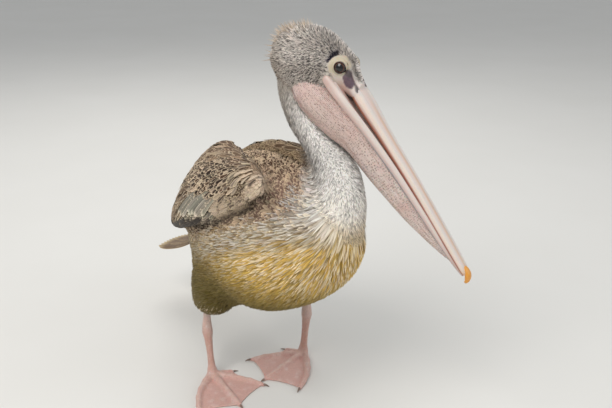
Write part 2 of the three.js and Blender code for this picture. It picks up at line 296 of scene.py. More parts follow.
def one_skin(name, solids, swell, voxel, loose=()):
    """One closed skin round several solids, each swollen first to close the thin cuts between them."""
    bm = bmesh.new()
    add_parts(bm, solids)
    bmesh.ops.remove_doubles(bm, verts=bm.verts, dist=WELD)
    bm.normal_update()
    for v in bm.verts:
        v.co += v.normal * swell
    add_parts(bm, loose)
    rough = new_object(name + "_rough", mesh_of(bm, name + "_rough"))
    remesh = rough.modifiers.new("one_skin", "REMESH")
    remesh.mode = "VOXEL"
    remesh.voxel_size = voxel
    mesh = bpy.data.meshes.new_from_object(rough.evaluated_get(bpy.context.evaluated_depsgraph_get()))
    bpy.data.objects.remove(rough)
    mesh.name = name
    return mesh


# --- Materials --------------------------------------------------------------------------------------


class Finish:
    """A material being wired up, with short names for the nodes it needs."""

    def __init__(self, name, roughness, **settings):
        self.material = bpy.data.materials.new(name)
        self.material.use_nodes = True
        self.tree = self.material.node_tree
        self.shader = self.tree.nodes["Principled BSDF"]
        self.shader.inputs["Roughness"].default_value = roughness
        for socket, value in settings.items():
            self.shader.inputs[socket.replace("_", " ")].default_value = value

    def node(self, kind, inputs=(), **settings):
        node = self.tree.nodes.new(kind)
        for key, value in settings.items():
            setattr(node, key, value)
        for key, value in dict(inputs).items():
            if isinstance(value, bpy.types.NodeSocket):
                self.tree.links.new(value, node.inputs[key])
            else:
                node.inputs[key].default_value = value
        return node

    def link(self, source, socket):
        self.tree.links.new(source, self.shader.inputs[socket])

    def math(self, operation, *values):
        return self.node("ShaderNodeMath", enumerate(values), operation=operation).outputs[0]

    def times(self, value, factor):
        return self.math("MULTIPLY", value, factor)

    def plus(self, value, other):
        return self.math("ADD", value, other)

    def line(self, value, slope, start):
        return self.math("MULTIPLY_ADD", value, slope, start)

    def attribute(self, name):
        return self.node("ShaderNodeAttribute", attribute_name=name).outputs["Color"]

    def object_place(self, scale=(1, 1, 1)):
        place = self.node("ShaderNodeTexCoord").outputs["Object"]
        return self.node("ShaderNodeMapping", {0: place, 3: scale}).outputs[0]

    def map_place(self, layer, scale=(1, 1, 1)):
        place = self.node("ShaderNodeUVMap", uv_map=layer).outputs[0]
        return self.node("ShaderNodeMapping", {0: place, 3: scale}).outputs[0]

    def noise(self, place, scale, detail=3, roughness=0.55):
        inputs = {"Vector": place, "Scale": scale, "Detail": detail, "Roughness": roughness}
        return self.node("ShaderNodeTexNoise", inputs).outputs["Fac"]

    def cells(self, place, scale):
        """How far each place is from the edge of its cell."""
        inputs = {"Vector": place, "Scale": scale}
        return self.node("ShaderNodeTexVoronoi", inputs, feature="DISTANCE_TO_EDGE").outputs["Distance"]

    def step(self, value, low, high):
        inputs = {0: value, 1: low, 2: high}
        return self.node("ShaderNodeMapRange", inputs, interpolation_type="SMOOTHSTEP").outputs[0]

    def partly(self, value, low, high, most):
        """A soft step that goes no higher than most."""
        return self.times(self.step(value, low, high), most)

    def mix(self, share, a, b, how="MIX"):
        colours = [(*c, 1) if isinstance(c, np.ndarray) else c for c in (a, b)]
        inputs = {0: share, 6: colours[0], 7: colours[1]}
        return self.node("ShaderNodeMix", inputs, data_type="RGBA", blend_type=how).outputs[2]

    def bump(self, height, distance, strength):
        inputs = {"Height": height, "Distance": distance, "Strength": strength}
        self.link(self.node("ShaderNodeBump", inputs).outputs[0], "Normal")


def feather_material(name, roughness, barbs, shaft, rim):
    """A vane with a pale rim, a shaft line and fine slanting barbs, in the piece's own colours."""
    f = Finish(name, roughness, Sheen_Weight=0.06, Sheen_Roughness=0.5, Specular_IOR_Level=0.15)
    across, along, _ = f.node("ShaderNodeSeparateXYZ", {0: f.map_place("vane")}).outputs
    off_shaft = f.math("ABSOLUTE", f.line(across, 2.0, -1.0))
    fray = f.line(f.noise(f.object_place(), 1300, 2), 0.3, -0.15)
    to_rim = f.plus(f.math("MAXIMUM", off_shaft, f.math("POWER", along, 1.5)), fray)
    vane = f.mix(f.step(to_rim, *rim), f.attribute("tint"), f.attribute("fringe"))
    line = f.step(off_shaft, shaft * 2, shaft * 0.4)
    vane = f.mix(f.times(line, 0.75), vane, f.attribute("shaft"))
    slant = f.line(off_shaft, -0.35, along)
    ridge = f.math("SINE", f.times(slant, barbs * 2 * math.pi))
    shade = f.line(ridge, 0.06, 0.97)
    patch = f.line(f.noise(f.object_place(), 60, 3), 0.35, 0.82)
    tone = f.times(shade, patch)
    grey = f.node("ShaderNodeCombineColor", {0: tone, 1: tone, 2: tone}).outputs[0]
    f.link(f.mix(1.0, vane, grey, "MULTIPLY"), "Base Color")
    f.bump(ridge, 0.0002, 0.35)
    return f.material


def plush_material(name, dark):
    """Fine tufts, dark at the root and pale at the tip."""
    f = Finish(name, 0.85, Sheen_Weight=0.1, Sheen_Roughness=0.5, Specular_IOR_Level=0.15)
    along = f.node("ShaderNodeSeparateXYZ", {0: f.map_place("vane")}).outputs[1]
    fray = f.line(f.noise(f.object_place(), 700, 2), 0.5, -0.25)
    tip = f.step(f.plus(along, fray), *dark)
    barbs = f.noise(f.map_place("vane", (7, 1.2, 1)), 1.0, 2)
    colour = f.mix(tip, f.attribute("shaft"), f.attribute("tint"))
    colour = f.mix(f.step(barbs, 0.62, 0.4), colour, f.attribute("fringe"))
    f.link(colour, "Base Color")
    f.bump(f.noise(f.object_place(), 1500, 2), 0.0003, 0.4)
    return f.material


def under_down_material():
    """What shows between feathers: down of their colour, in shade."""
    f = Finish("under_down", 0.9, Specular_IOR_Level=0.15)
    mottle = f.step(f.noise(f.object_place(), 260, 4), 0.2, 0.6)
    f.link(f.mix(mottle, np.array([0.3, 0.27, 0.24]), f.attribute("tint")), "Base Color")
    f.bump(f.noise(f.object_place(), 420, 4), 0.0015, 0.8)
    return f.material


def bare_skin_material():
    f = Finish("bare_face_skin", 0.5, Subsurface_Weight=0.15, Subsurface_Scale=0.004)
    pores = f.cells(f.object_place(), 900)
    creases = f.noise(f.object_place((1, 1, 2.2)), 220, 4)
    tone = f.mix(f.times(creases, 0.35), f.attribute("tint"), PAINT["skin_pink"] * 0.6)
    f.link(tone, "Base Color")
    f.bump(f.plus(f.times(pores, 0.6), creases), 0.0006, 0.6)
    return f.material


def pouch_material():
    """Bare elastic skin: rows of fine pits along it, soft ribs between them and a blotchy flush."""
    f = Finish("pouch_skin", 0.5, Subsurface_Weight=0.2, Subsurface_Scale=0.005)
    rows = {"Vector": f.map_place("skin", (80, 140, 1)), "Scale": 1.0, "Randomness": 0.45}
    pits = f.node("ShaderNodeTexVoronoi", rows)
    pit = f.step(pits.outputs["Distance"], 0.42, 0.2)
    ribs = f.noise(f.map_place("skin", (46, 5, 1)), 1.0, 4, 0.6)
    flush = f.noise(f.object_place(), 34, 3)
    colour = f.mix(f.step(flush, 0.4, 0.7), f.attribute("tint"), PAINT["pouch_pink"])
    colour = f.mix(f.partly(ribs, 0.5, 0.3, 0.45), colour, PAINT["pouch_red"])
    colour = f.mix(f.partly(ribs, 0.55, 0.75, 0.5), colour, PAINT["horn_white"])
    colour = f.mix(f.times(pit, 0.7), colour, PAINT["pouch_red"] * 0.45)
    f.link(colour, "Base Color")
    f.bump(f.math("SUBTRACT", ribs, f.times(pit, 0.25)), 0.0014, 0.8)
    return f.material


def horn_material(name, roughness=0.38):
    """Layered horn: long streaks, faint growth lines and a satin skin."""
    f = Finish(name, roughness, Coat_Weight=0.15, Coat_Roughness=0.3, Subsurface_Weight=0.1)
    streaks = f.noise(f.map_place("skin", (40, 2.4, 1)), 1.0, 5, 0.65)
    specks = f.noise(f.object_place(), 500, 3)
    colour = f.mix(f.partly(streaks, 0.5, 0.85, 0.22), f.attribute("tint"), PAINT["horn_orange"])
    colour = f.mix(f.partly(streaks, 0.5, 0.25, 0.28), colour, PAINT["horn_white"])
    colour = f.mix(f.partly(specks, 0.55, 0.75, 0.16), colour, PAINT["horn_grey"])
    f.link(colour, "Base Color")
    lines = f.noise(f.map_place("skin", (60, 60, 1)), 1.0, 3)
    f.bump(f.plus(streaks, f.times(lines, 0.3)), 0.0004, 0.5)
    return f.material


def claw_material():
    """Dull horn, darker in streaks."""
    f = Finish("claw_horn", 0.4, Coat_Weight=0.15, Coat_Roughness=0.3)
    streaks = f.noise(f.object_place((1, 1, 3)), 300, 4)
    f.link(f.mix(f.step(streaks, 0.35, 0.7), f.attribute("tint"), PAINT["claw_horn"] * 0.45), "Base Color")
    f.bump(streaks, 0.0003, 0.5)
    return f.material


def leg_material():
    """Small rounded scales over larger ones, fine creases on the webs."""
    f = Finish("leg_scales", 0.55, Subsurface_Weight=0.12, Subsurface_Scale=0.003)
    small = f.cells(f.object_place(), 520)
    scutes = f.cells(f.object_place((1, 1, 1.6)), 240)
    creases = f.noise(f.object_place(), 320, 4)
    seams = f.step(small, 0.12, 0.0)
    colour = f.mix(f.times(seams, 0.45), f.attribute("tint"), PAINT["pouch_red"] * 0.8)
    colour = f.mix(f.partly(creases, 0.5, 0.75, 0.2), colour, PAINT["horn_white"])
    f.link(colour, "Base Color")
    relief = f.plus(f.math("MINIMUM", small, 0.25), f.times(scutes, 0.5))
    f.bump(f.plus(relief, f.times(creases, 0.3)), 0.0012, 0.7)
    return f.material


PUPIL_EDGE, IRIS_EDGE = (0.165, 0.185), (0.215, 0.245)  # as shares of the way round the ball from its front


def eye_material():
    """A dark pupil in a brown iris, with a black rim, under a wet surface."""
    f = Finish("eye_wet", 0.08, Coat_Weight=0.6, Coat_Roughness=0.02, Specular_IOR_Level=0.35)
    along = f.node("ShaderNodeSeparateXYZ", {0: f.map_place("skin")}).outputs[1]
    rays = f.noise(f.map_place("skin", (60, 3, 1)), 1.0, 3)
    iris = f.mix(rays, linear("24120a"), linear("5f3519"))
    colour = f.mix(f.step(along, *PUPIL_EDGE), linear("060505"), iris)
    colour = f.mix(f.step(along, *IRIS_EDGE), colour, linear("0b0806"))
    f.link(colour, "Base Color")
    return f.material


def floor_material():
    f = Finish("pale_floor", 0.8)
    f.link(f.mix(f.noise(f.object_place(), 3, 2), linear("d9d8d4"), linear("dfdedb")), "Base Color")
    return f.material


# --- Lines that the body grows along ----------------------------------------------------------------

WING_SPINE = [(178, 62, 376), (105, 71, 370), (50, 75, 357), (-10, 74, 341), (-75, 68, 312)]
WING_SPINE += [(-140, 53, 270), (-193, 32, 229), (-230, 19, 195), (-254, 12, 170)]
# mm from the spine to the wing's edges, station by station
WING_UPPER = [8, 44, 59, 74, 80, 72, 50, 29, 10]
WING_LOWER = [12, 61, 77, 85, 84, 72, 47, 27, 10]
WING_SETTLE = {"right": 0, "left": 8}
LEAN_IN, LEAN_UP = 0.62, 0.79  # the way up the face of a folded wing: in towards the body, and up
NECK_SPINE = [(176, 32, 272), (196, 47, 333), (163, 61, 381), (115, 61, 417), (86, 52, 455), (81, 46, 496)]
NECK_SPINE += [(89, 45, 527)]
NECK_BASE = np.array([225, 45, 345])


def spine_of_wing(side):
    return np.array([(x, SIDES[side] * y, z - WING_SETTLE[side]) for x, y, z in WING_SPINE], float)


def along_line(points, line):
    """For each point: the share along the line of its nearest place there, that place and the heading."""
    shares = np.linspace(0, 1, 121)
    dense = curve_through(line, shares)
    parts = np.array_split(points, len(points) // 2000 + 1)
    nearest = [np.linalg.norm(part[:, None, :] - dense[None], axis=2).argmin(axis=1) for part in parts]
    nearest = np.concatenate(nearest)
    heading = unit(np.gradient(dense, axis=0))
    return shares[nearest], dense[nearest], heading[nearest]


def up_wing(side):
    return np.array([0, -LEAN_IN * SIDES[side], LEAN_UP])


def wing_reach(along, above):
    """From the spine of the wing to its edge, in mm: the upper edge where above is over 0."""
    stations = np.linspace(0, 1, len(WING_UPPER))
    return np.where(above > 0, np.interp(along, stations, WING_UPPER), np.interp(along, stations, WING_LOWER))


def wing_place(points, side):
    """Along the wing from 0 at the wrist to 1 at the tip, and across it from -1 below to 1 above."""
    share, at, heading = along_line(points, spine_of_wing(side))
    across = (points - at) @ up_wing(side)
    return share, across / wing_reach(share, across), heading


# --- Skin -------------------------------------------------------------------------------------------

FEATHERED = ["trunk", "neck_lower", "neck_upper", "head"]
FEATHERED += [f"wing_{side}_{part}" for side in SIDES for part in ("arm", "hand")]
FEATHERED += [f"thigh_{side}" for side in SIDES]
REGION = {name: index for index, name in enumerate(FEATHERED)}


def share_of(weights, *starts):
    """How much of each point belongs to the solids whose names start so."""
    return sum(weights[:, i] for name, i in REGION.items() if name.startswith(starts))


BODY_VOXEL, LEG_VOXEL = 4.4 * MM, 1.4 * MM
BODY_SWELL, LEG_SWELL = 0.4 * MM, 0.15 * MM
COAT_DEPTH = {"trunk": 6.5, "neck_lower": 5.5, "neck_upper": 5, "head": 4, "wing": 3, "thigh": 5}  # mm
BARE_SHARE = 0.94  # of the coat's depth that bare skin isn't sunk by
# mm that parts of the skin lie deeper or higher than that
WING_EDGE_SINK, WING_TIP_SINK, WING_SEAM_SINK, FOREHEAD_SINK = 6, 4, 4.5, 7.5
THIGH_LIFT, CROWN_LIFT = 10, 4.5
WING_TUCK = (4.5, -9.5)  # mm ahead and outwards that the hand of the wing moves


def bill_collar():
    """The rim of bare skin that the horn of the upper bill grows out of."""
    stations = [(-36, 0, -10, 13, 4, 9), (-16, 0, -13, 18.5, 6.5, 11.5), (2, 0, -14, 21, 7, 12.5)]
    stations += [(15, 0, -13.5, 20.6, 6.6, 12)]
    return swept(stations, 48, 30, BILL, ridged)


def nearest_node(co, nodes):
    """The index in nodes of the solid nearest to each point."""
    points, faces, owner = [], [], []
    for index, node in enumerate(nodes):
        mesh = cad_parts[node].data
        start = len(points)
        points += [v.co for v in mesh.vertices]
        faces += [[start + i for i in p.vertices] for p in mesh.polygons]
        owner += [index] * len(mesh.polygons)
    tree = BVHTree.FromPolygons(points, faces)
    return np.array([owner[tree.find_nearest(Vector(p))[2]] for p in co])


def ridged(angle):
    """The upper bill's outline: flat-topped with a low ridge, and edges that turn down."""
    c, d = np.cos(angle), np.sin(angle)
    across = np.sign(c) * np.abs(c) ** 0.72
    rise = np.abs(d) ** 0.7
    ridge = 0.1 * np.exp(-((across / 0.2) ** 2))
    groove = -0.07 * np.exp(-(((np.abs(across) - 0.42) / 0.12) ** 2))
    above = 0.9 * rise + ridge + groove
    below = -np.abs(d) ** 0.45 * (1 - 0.45 * np.exp(-((across / 0.55) ** 2)))
    return across, np.where(d >= 0, above, below)


def off_segment(x, z, start, end):
    """How far each place lies from a segment, in the head's side view."""
    run = np.subtract(end, start)
    share = np.clip(((x - start[0]) * run[0] + (z - start[1]) * run[1]) / (run @ run), 0, 1)
    return np.hypot(x - start[0] - share * run[0], z - start[1] - share * run[1])


def bare_face(co):
    """How bare the head's skin is, from 0 under feathers to 1: round the eye and down to the bill."""
    x, y, z = in_mm(HEAD, co).T
    ring = np.hypot(x - EYE_FORWARD / MM + 2.4, z - EYE_UP / MM - 1.2)
    lore = off_segment(x, z, (50.0, -8.0), (72.0, -42.0))
    gape = off_segment(x, z, (33.0, -17.0), (52.0, -30.0))
    bare = np.maximum.reduce([ramp(ring, 15.0, 13.8), ramp(lore, 11.5, 10), ramp(gape, 7, 5.5)])
    bx, _, bz = in_mm(BILL, co).T
    collar = np.maximum(ramp(bx, -4, 1), ramp(bx, -16, -11) * ramp(bz, -8, -10.5))
    return np.maximum(bare * (np.abs(y) > 8), collar * ramp(x, 52, 58) * (bx < 45))


def face_colour(co):
    """Cream round the eye, white below it, a dark blue spot before it and pink towards the bill."""
    x, y, z = in_mm(HEAD, co).T
    bx, _, bz = in_mm(BILL, co).T
    cheek = ramp(np.abs(y), 8.5, 11.5)
    ring = np.hypot(x - 47, z - 1.5)
    wobble = 1 + 0.22 * (cloud(co, 0.006, 4.0) - 0.5)
    spot = np.hypot((x - 62 + 0.25 * (z + 17)) / 7.2, (z + 17) / 11.5) * wobble
    cap = off_segment(x, z, (57.0, -5.5), (68.0, -12.0)) * wobble
    streak = off_segment(x, z, (69.5, -19.0), (74.5, -31.5)) * wobble
    return coats(
        "skin_white",
        ("skin_pink", ramp(z, -20, -34)),
        ("horn_white", ramp(bx, -14, -2)),
        ("tomium_rust", 0.5 * ramp(bz, -14, -21) * ramp(bx, -30, 0)),
        ("skin_cream", ramp(ring, 16, 11) * ramp(x + z, 26, 40)),
        ("lore_mauve", ramp(spot, 1.12, 0.9) * cheek),
        ("lore_blue", 0.95 * ramp(cap, 4.6, 2.6) * cheek),
        ("lore_blue", 0.9 * ramp(streak, 2.4, 1.2) * cheek),
    )


def slate_mark(co):
    """The small slate mark above and behind the eye."""
    x, _, z = in_mm(HEAD, co).T
    turned = (x - 38) * 0.6 + (z - 13.5) * 0.8, -(x - 38) * 0.8 + (z - 13.5) * 0.6
    return ramp(np.hypot(turned[0] / 8.0, turned[1] / 3.9), 1.15, 0.85)


def keep_largest(mesh):
    """Drops every loose shell but the largest."""
    bm = bmesh.new()
    bm.from_mesh(mesh)
    shells, seen = [], set()
    for start in bm.verts:
        if start in seen:
            continue
        shell, front = [start], [start]
        seen.add(start)
        while front:
            vertex = front.pop()
            for edge in vertex.link_edges:
                other = edge.other_vert(vertex)
                if other not in seen:
                    seen.add(other)
                    shell.append(other)
                    front.append(other)
        shells.append(shell)
    shells.sort(key=len)
    bmesh.ops.delete(bm, geom=[v for shell in shells[:-1] for v in shell], context="VERTS")
    bm.to_mesh(mesh)
    bm.free()


HEAD_REACH = 92 * MM  # from the middle of the skull to the end of its bare skin


def refine_head(mesh):
    """Cuts the faces of the head in four, so that its bare skin can carry fine folds."""
    bm = bmesh.new()
    bm.from_mesh(mesh)
    centre = HEAD.translation
    near = [e for e in bm.edges if all((v.co - centre).length < HEAD_REACH for v in e.verts)]
    bmesh.ops.subdivide_edges(bm, edges=near, cuts=1, use_grid_fill=True)
    bm.to_mesh(mesh)
    bm.free()


def build_body_skin():
    """Trunk, neck, head, wings and thighs as one skin, sunk under the plumage by its depth."""
    mesh = one_skin("skin", FEATHERED, BODY_SWELL, BODY_VOXEL, [bill_collar()])
    keep_largest(mesh)
    refine_head(mesh)
    pairs = edge_pairs(mesh)
    co = spread(positions(mesh), pairs, 14)
    place_vertices(mesh, co)
    weights = np.eye(len(FEATHERED))[nearest_node(co, FEATHERED)]
    soft, close = spread(weights, pairs, 12), spread(weights, pairs, 8)
    depth = np.array([next(d for key, d in COAT_DEPTH.items() if node.startswith(key)) for node in FEATHERED])
    coat = spread((weights @ depth)[:, None], pairs, 30)[:, 0] * MM
    points, on_head, bill_height = in_mm(BODY, co), in_mm(HEAD, co), in_mm(BILL, co)[:, 2]
    sink = coat.copy()
    for side in SIDES:
        along, across, _ = wing_place(points, side)
        on_wing = share_of(soft, "wing_" + side)
        sink += WING_EDGE_SINK * MM * on_wing * ramp(along, 0.34, 0.12) * ramp(across, 0.15, -0.5)
        sink += WING_TIP_SINK * MM * on_wing * ramp(along, 0.45, 0.8)
        edge = share_of(spread(weights, pairs, 20), "wing_" + side)
        sink += WING_SEAM_SINK * MM * (4 * edge * (1 - edge)) ** 2 * ramp(along, 0.5, 0.3)
    sink *= 1 - BARE_SHARE * bare_face(co)
    forehead = ramp(on_head[:, 0], 54, 76) * share_of(close, "head")
    sink += FOREHEAD_SINK * MM * forehead * ramp(on_head[:, 2], 24, -6) * ramp(bill_height, -11, -5)
    raised = share_of(close, "thigh") * ramp(points[:, 2], 140, 105)
    # the thighs run smoothly into the flanks
    seam = spread(share_of(weights, "thigh")[:, None], pairs, 110)[:, 0]
    seam = np.minimum(1, 7 * seam * (1 - seam))
    co = blend(co, spread(co, pairs, 240), seam * ramp(points[:, 2], 112, 140))
    moved = co - normals(mesh) * sink[:, None]
    moved[:, 2] += THIGH_LIFT * MM * raised
    high = in_mm(HEAD, co)
    crown = share_of(spread(weights, pairs, 10), "head") * ramp(high[:, 2], 10, 36) * ramp(high[:, 0], 48, 8)
    moved += normals(mesh) * (CROWN_LIFT * MM * crown)[:, None]
    for side in SIDES:
        along, _, _ = wing_place(points, side)
        tucked = share_of(soft, "wing_" + side) * ramp(along, 0.3, 0.75)
        moved += np.array([WING_TUCK[0], WING_TUCK[1] * SIDES[side], 0]) * MM * tucked[:, None]
    place_vertices(mesh, moved)
    place_vertices(mesh, spread(positions(mesh), pairs, 4))
    return mesh, soft, coat * (1 - BARE_SHARE * bare_face(co))


body_mesh, region, sink_depth = build_body_skin()
skin_co, skin_normal = positions(body_mesh), normals(body_mesh)
skin_corners = corner_triples(body_mesh)
skin_faces = [tuple(p.vertices) for p in body_mesh.polygons]
skin_tree = BVHTree.FromPolygons([Vector(p) for p in skin_co], skin_faces)

# --- Lie of the plumage -----------------------------------------------------------------------------


def lie_of_feathers(co, weights):
    """The way the feathers point at each place, before it is drawn onto the skin."""
    points = in_mm(BODY, co)
    head_turn = np.array(HEAD.to_3x3())

    def turned(flow, other, share):
        return flow * (1 - share[:, None]) + other * share[:, None]

    flow = unit(points - NECK_BASE) + np.array([-0.55, 0, -0.12])
    flow = unit(turned(unit(flow), np.array([-0.93, 0, -0.35]), ramp(points[:, 2], 330, 380)))
    flow = turned(flow, -along_line(points, NECK_SPINE)[2], share_of(weights, "neck"))
    back_of_head = unit((head_turn @ np.array([-1, 0, -0.25]))[None])
    down_cheek = unit((head_turn @ np.array([-0.7, 0, -0.8]))[None])
    on_head = turned(back_of_head, down_cheek, ramp(in_mm(HEAD, co)[:, 2], 5, -30))
    flow = turned(flow, on_head, share_of(weights, "head"))
    for side in SIDES:
        along, _, heading = wing_place(points, side)
        wrist = ramp(along, 0.13, 0.02)[:, None] * np.array([0.4, 1.1 * SIDES[side], -0.75])
        on_wing = heading + np.array([0, 0, -0.1]) + wrist
        flow = turned(flow, on_wing, share_of(weights, "wing_" + side))
    thigh = share_of(weights, "thigh") * ramp(points[:, 2], 165, 120)
    return unit(turned(flow, np.array([-0.35, 0, -0.95]), thigh))


def onto_surface(vectors, surface_normals):
    return unit(vectors - (vectors * surface_normals).sum(axis=1, keepdims=True) * surface_normals)


skin_flow = onto_surface(lie_of_feathers(skin_co, region), skin_normal)
skin_flow = onto_surface(spread(skin_flow, edge_pairs(body_mesh), 18), skin_normal)

# --- Markings, shared by skin and feathers ----------------------------------------------------------


def cloud(co, scale, seed=0.0):
    """Soft patches from 0 to 1, about scale metres across."""
    offset = Vector((seed, seed * 2, -seed))
    return np.array([0.5 + 0.5 * noise.noise(Vector(p) / scale + offset) for p in co])


def off_neck(points):
    """How far each place lies from the foot of the neck, in mm."""
    return np.linalg.norm(points - NECK_BASE, axis=1)


def mantle_edge(points):
    """How far each place lies above the line where the breast's gold meets the mantle's brown, in mm."""
    edge = np.interp(points[:, 0], (-150, 0, 90, 154, 208, 240), (236, 242, 284, 312, 336, 352))
    return points[:, 2] - edge


def on_mantle(points):
    """1 on the back and shoulders, 0 on the breast and belly."""
    return ramp(mantle_edge(points), -10, 18) * ramp(off_neck(points), 40, 74)


def gold_share(points):
    """How gold the breast is: not by the neck, nor above a line that drops towards the tail."""
    line = 324 - 0.24 * np.maximum(0, 171 - points[:, 0])
    return ramp(off_neck(points), 2, 34) * ramp(points[:, 2] - line, 26, -10)


def breast_colours(points, patches, mottles):
    """Cream by the neck, gold below, ashy and darker towards the flanks, under a brown mantle."""
    x, _, z = points.T
    from_neck = off_neck(points)
    breast = coats(
        "chest_cream",
        ("gold", gold_share(points) * (0.6 + 0.2 * patches)),
        # deeper gold low down and olive towards the rear: partly the breast's own colour, partly painted
        # shade
        ("gold_deep", 0.75 * ramp(z, 265, 165) * ramp(from_neck, 60, 150)),
        ("flank_olive", 0.75 * ramp(x, 110, -60)),
    )
    breast_rim = coats("cream", ("buff", 0.75 * ramp(from_neck, 60, 180)))
    by_wrist = np.linalg.norm((points - (128, -46, 385)) / (26, 24, 34), axis=1)
    mantle = coats(
        "mantle_brown",
        ("mantle_pale", 0.75 * ramp(x, 60, 165) + 0.3 * (mottles - 0.5)),
        ("wrist_cream", ramp(by_wrist + 0.8 * (mottles - 0.5), 1.25, 0.7)),
    )
    high = on_mantle(points)
    shaft = blend(PAINT["gold_deep"], PAINT["mantle_brown"] * 0.6, high)
    return blend(breast, mantle, high), coats(breast_rim, ("fringe_sand", high)), shaft


def neck_colours(points, mottles):
    """White down, browner behind and towards the head, cream and gold at its foot."""
    x, _, z = points.T
    share, _, _ = along_line(points, NECK_SPINE)
    from_spine = points - curve_through(NECK_SPINE, share)
    behind = ramp((from_spine @ np.array([-0.82, -0.57, 0.1])), -5, 25) * ramp(share, 0.25, 0.7)
    neck = coats(
        "down_white",
        ("neck_pale", ramp(share, 0.1, 0.45)),
        ("down_grey", ramp(share, 0.5, 0.95)),
        ("nape_brown", 0.42 * ramp(share, 0.62, 0.85)),
        ("nape_brown", 0.85 * behind * (0.6 + 0.6 * mottles)),
        ("chest_cream", ramp(share, 0.28, 0.05)),
        ("gold", 0.75 * ramp(z, 346, 306) * ramp(x, 150, 200)),
    )
    root = coats(neck * 0.85, ("speck_dark", 0.03 + 0.3 * ramp(share, 0.8, 0.98)))
    return neck, coats(neck, ("down_white", 0.5)), root


def head_colours(co, mark, mottles):
    """Grey down, brown on nape and cheek, a slate mark behind the eye and a paler forehead."""
    x, _, z = in_mm(HEAD, co).T
    head = coats(
        "crown_grey",
        ("down_grey", 0.4 + 0.5 * (mottles - 0.5)),
        ("nape_brown", 0.45 * ramp(x, -25, -55)),
        ("nape_brown", 0.4 * ramp(z, 16, -8) * ramp(x, 52, 34)),
        (PAINT["slate"] * 0.45, mark),
    )
    pale = coats(head, (np.array([1.0, 0.97, 0.93]), 0.5 * ramp(x, 50, 66) * (1 - mark)))
    return head, head, coats("speck_dark", (pale, 0.35 + 0.4 * ramp(x, 50, 66)))


def wing_colours(points, side, patches, mottles):
    """Brown with pale edges, cream at the wrist, grey over the inner quills and dark at the tip."""
    along, across, _ = wing_place(points, side)
    upper = ramp(across, 0.1, 0.6)
    margin = np.maximum(0.7 * ramp(along, 0.3, 0.16) * ramp(across, -0.35, -0.7), ramp(along, 0.05, 0.025))
    mirror = ramp(along, 0.14, 0.18) * ramp(along, 0.42, 0.32) * ramp(across, -0.3, -0.45)
    hand = np.maximum(ramp(along, 0.66, 0.84), ramp(across, -0.76, -0.86) * ramp(along, 0.17, 0.24))
    # the far wing painted lighter and more olive than the near one: painted light on the same feathers
    far = 0.4 if side == "left" else 0
    vane = coats(
        "covert_brown",
        ("covert_dark", 0.5 + 1.4 * (mottles - 0.5)),
        ("scapular", upper),
        ("wrist_cream", 0.9 * margin * (1 - 0.7 * ramp(mottles, 0.62, 0.7))),
        ("mirror_grey", 0.6 * mirror),
        ("quill_dark", 0.6 * hand),
        ("far_brown", far),
    )
    rim = coats(
        "covert_edge",
        ("buff", 0.5 * patches),
        ("scapular_edge", upper),
        ("cream", 0.6 * mirror),
        ("quill_edge", 0.6 * hand),
        ("buff", far),
    )
    return vane, rim, PAINT["covert_dark"] * 0.6


def markings(co, weights):
    """The colours of a feather rooted at each place: its vane, its fringe and its shaft."""
    points, mark = in_mm(BODY, co), slate_mark(co)
    patches, mottles = cloud(co, 0.05), cloud(co, 0.014, 3.0)
    colours = breast_colours(points, patches, mottles)
    over = {"neck": neck_colours(points, mottles), "head": head_colours(co, mark, mottles)}
    for part, paints in over.items():
        share = share_of(weights, part)
        colours = [blend(colour, paint, share) for colour, paint in zip(colours, paints)]
    tint, fringe, shaft = colours
    shaft = blend(shaft, PAINT["slate"] * 0.4, mark * share_of(weights, "head"))
    for side in SIDES:
        share = share_of(weights, "wing_" + side)
        vane, rim, line = wing_colours(points, side, patches, mottles)
        # painted shade: the feathers darker where the wing meets the body
        seam_shade = 1 - 0.6 * ((4 * share * (1 - share)) ** 3)[:, None]
        tint, fringe = blend(tint, vane, share) * seam_shade, blend(fringe, rim, share) * seam_shade
        shaft = blend(shaft, line, share)
    thigh = share_of(weights, "thigh")
    fluff = thigh * ramp(points[:, 2], 190, 125)
    tint, fringe = coats(tint, ("thigh_white", 0.7 * fluff)), coats(fringe, ("down_white", 0.6 * fluff))
    return tint, fringe, coats(shaft, ("ash", thigh))


# --- Feathers ---------------------------------------------------------------------------------------


def colours_of(roots):
    return markings(roots["co"], roots["weights"])


def sample_skin(spacing, wanted, seed):
    """Roots scattered over the skin where wanted(co, weights) is high, about spacing metres apart."""
    local = np.random.default_rng(seed)
    corner = skin_corners
    a, b, c = (skin_co[corner[:, i]] for i in range(3))
    area = np.linalg.norm(np.cross(b - a, c - a), axis=1) / 2
    chance = area * wanted(skin_co, region)[corner].mean(axis=1)
    count = int(chance.sum() / spacing**2 * 5)
    face = local.choice(len(corner), count, p=chance / chance.sum())
    r, s = np.sqrt(local.random(count)), local.random(count)
    share = np.stack([1 - r, r * (1 - s), r * s], axis=1)
    co = (skin_co[corner[face]] * share[..., None]).sum(axis=1)
    cell = {}
    kept = []
    for index, point in enumerate(co):
        key = tuple((point / spacing).astype(int))
        near = (
            other
            for i in (-1, 0, 1)
            for j in (-1, 0, 1)
            for k in (-1, 0, 1)
            for other in cell.get((key[0] + i, key[1] + j, key[2] + k), ())
        )
        if all(abs(point - co[other]).sum() > spacing for other in near):
            cell.setdefault(key, []).append(index)
            kept.append(index)
    kept = np.array(kept)
    face, share = face[kept], share[kept]

    def at_roots(values):
        return (values[corner[face]] * share[..., None]).sum(axis=1)

    return {
        "co": co[kept],
        "normal": unit(at_roots(skin_normal)),
        "flow": unit(at_roots(skin_flow)),
        "weights": at_roots(region),
        "depth": at_roots(sink_depth[:, None])[:, 0],
    }


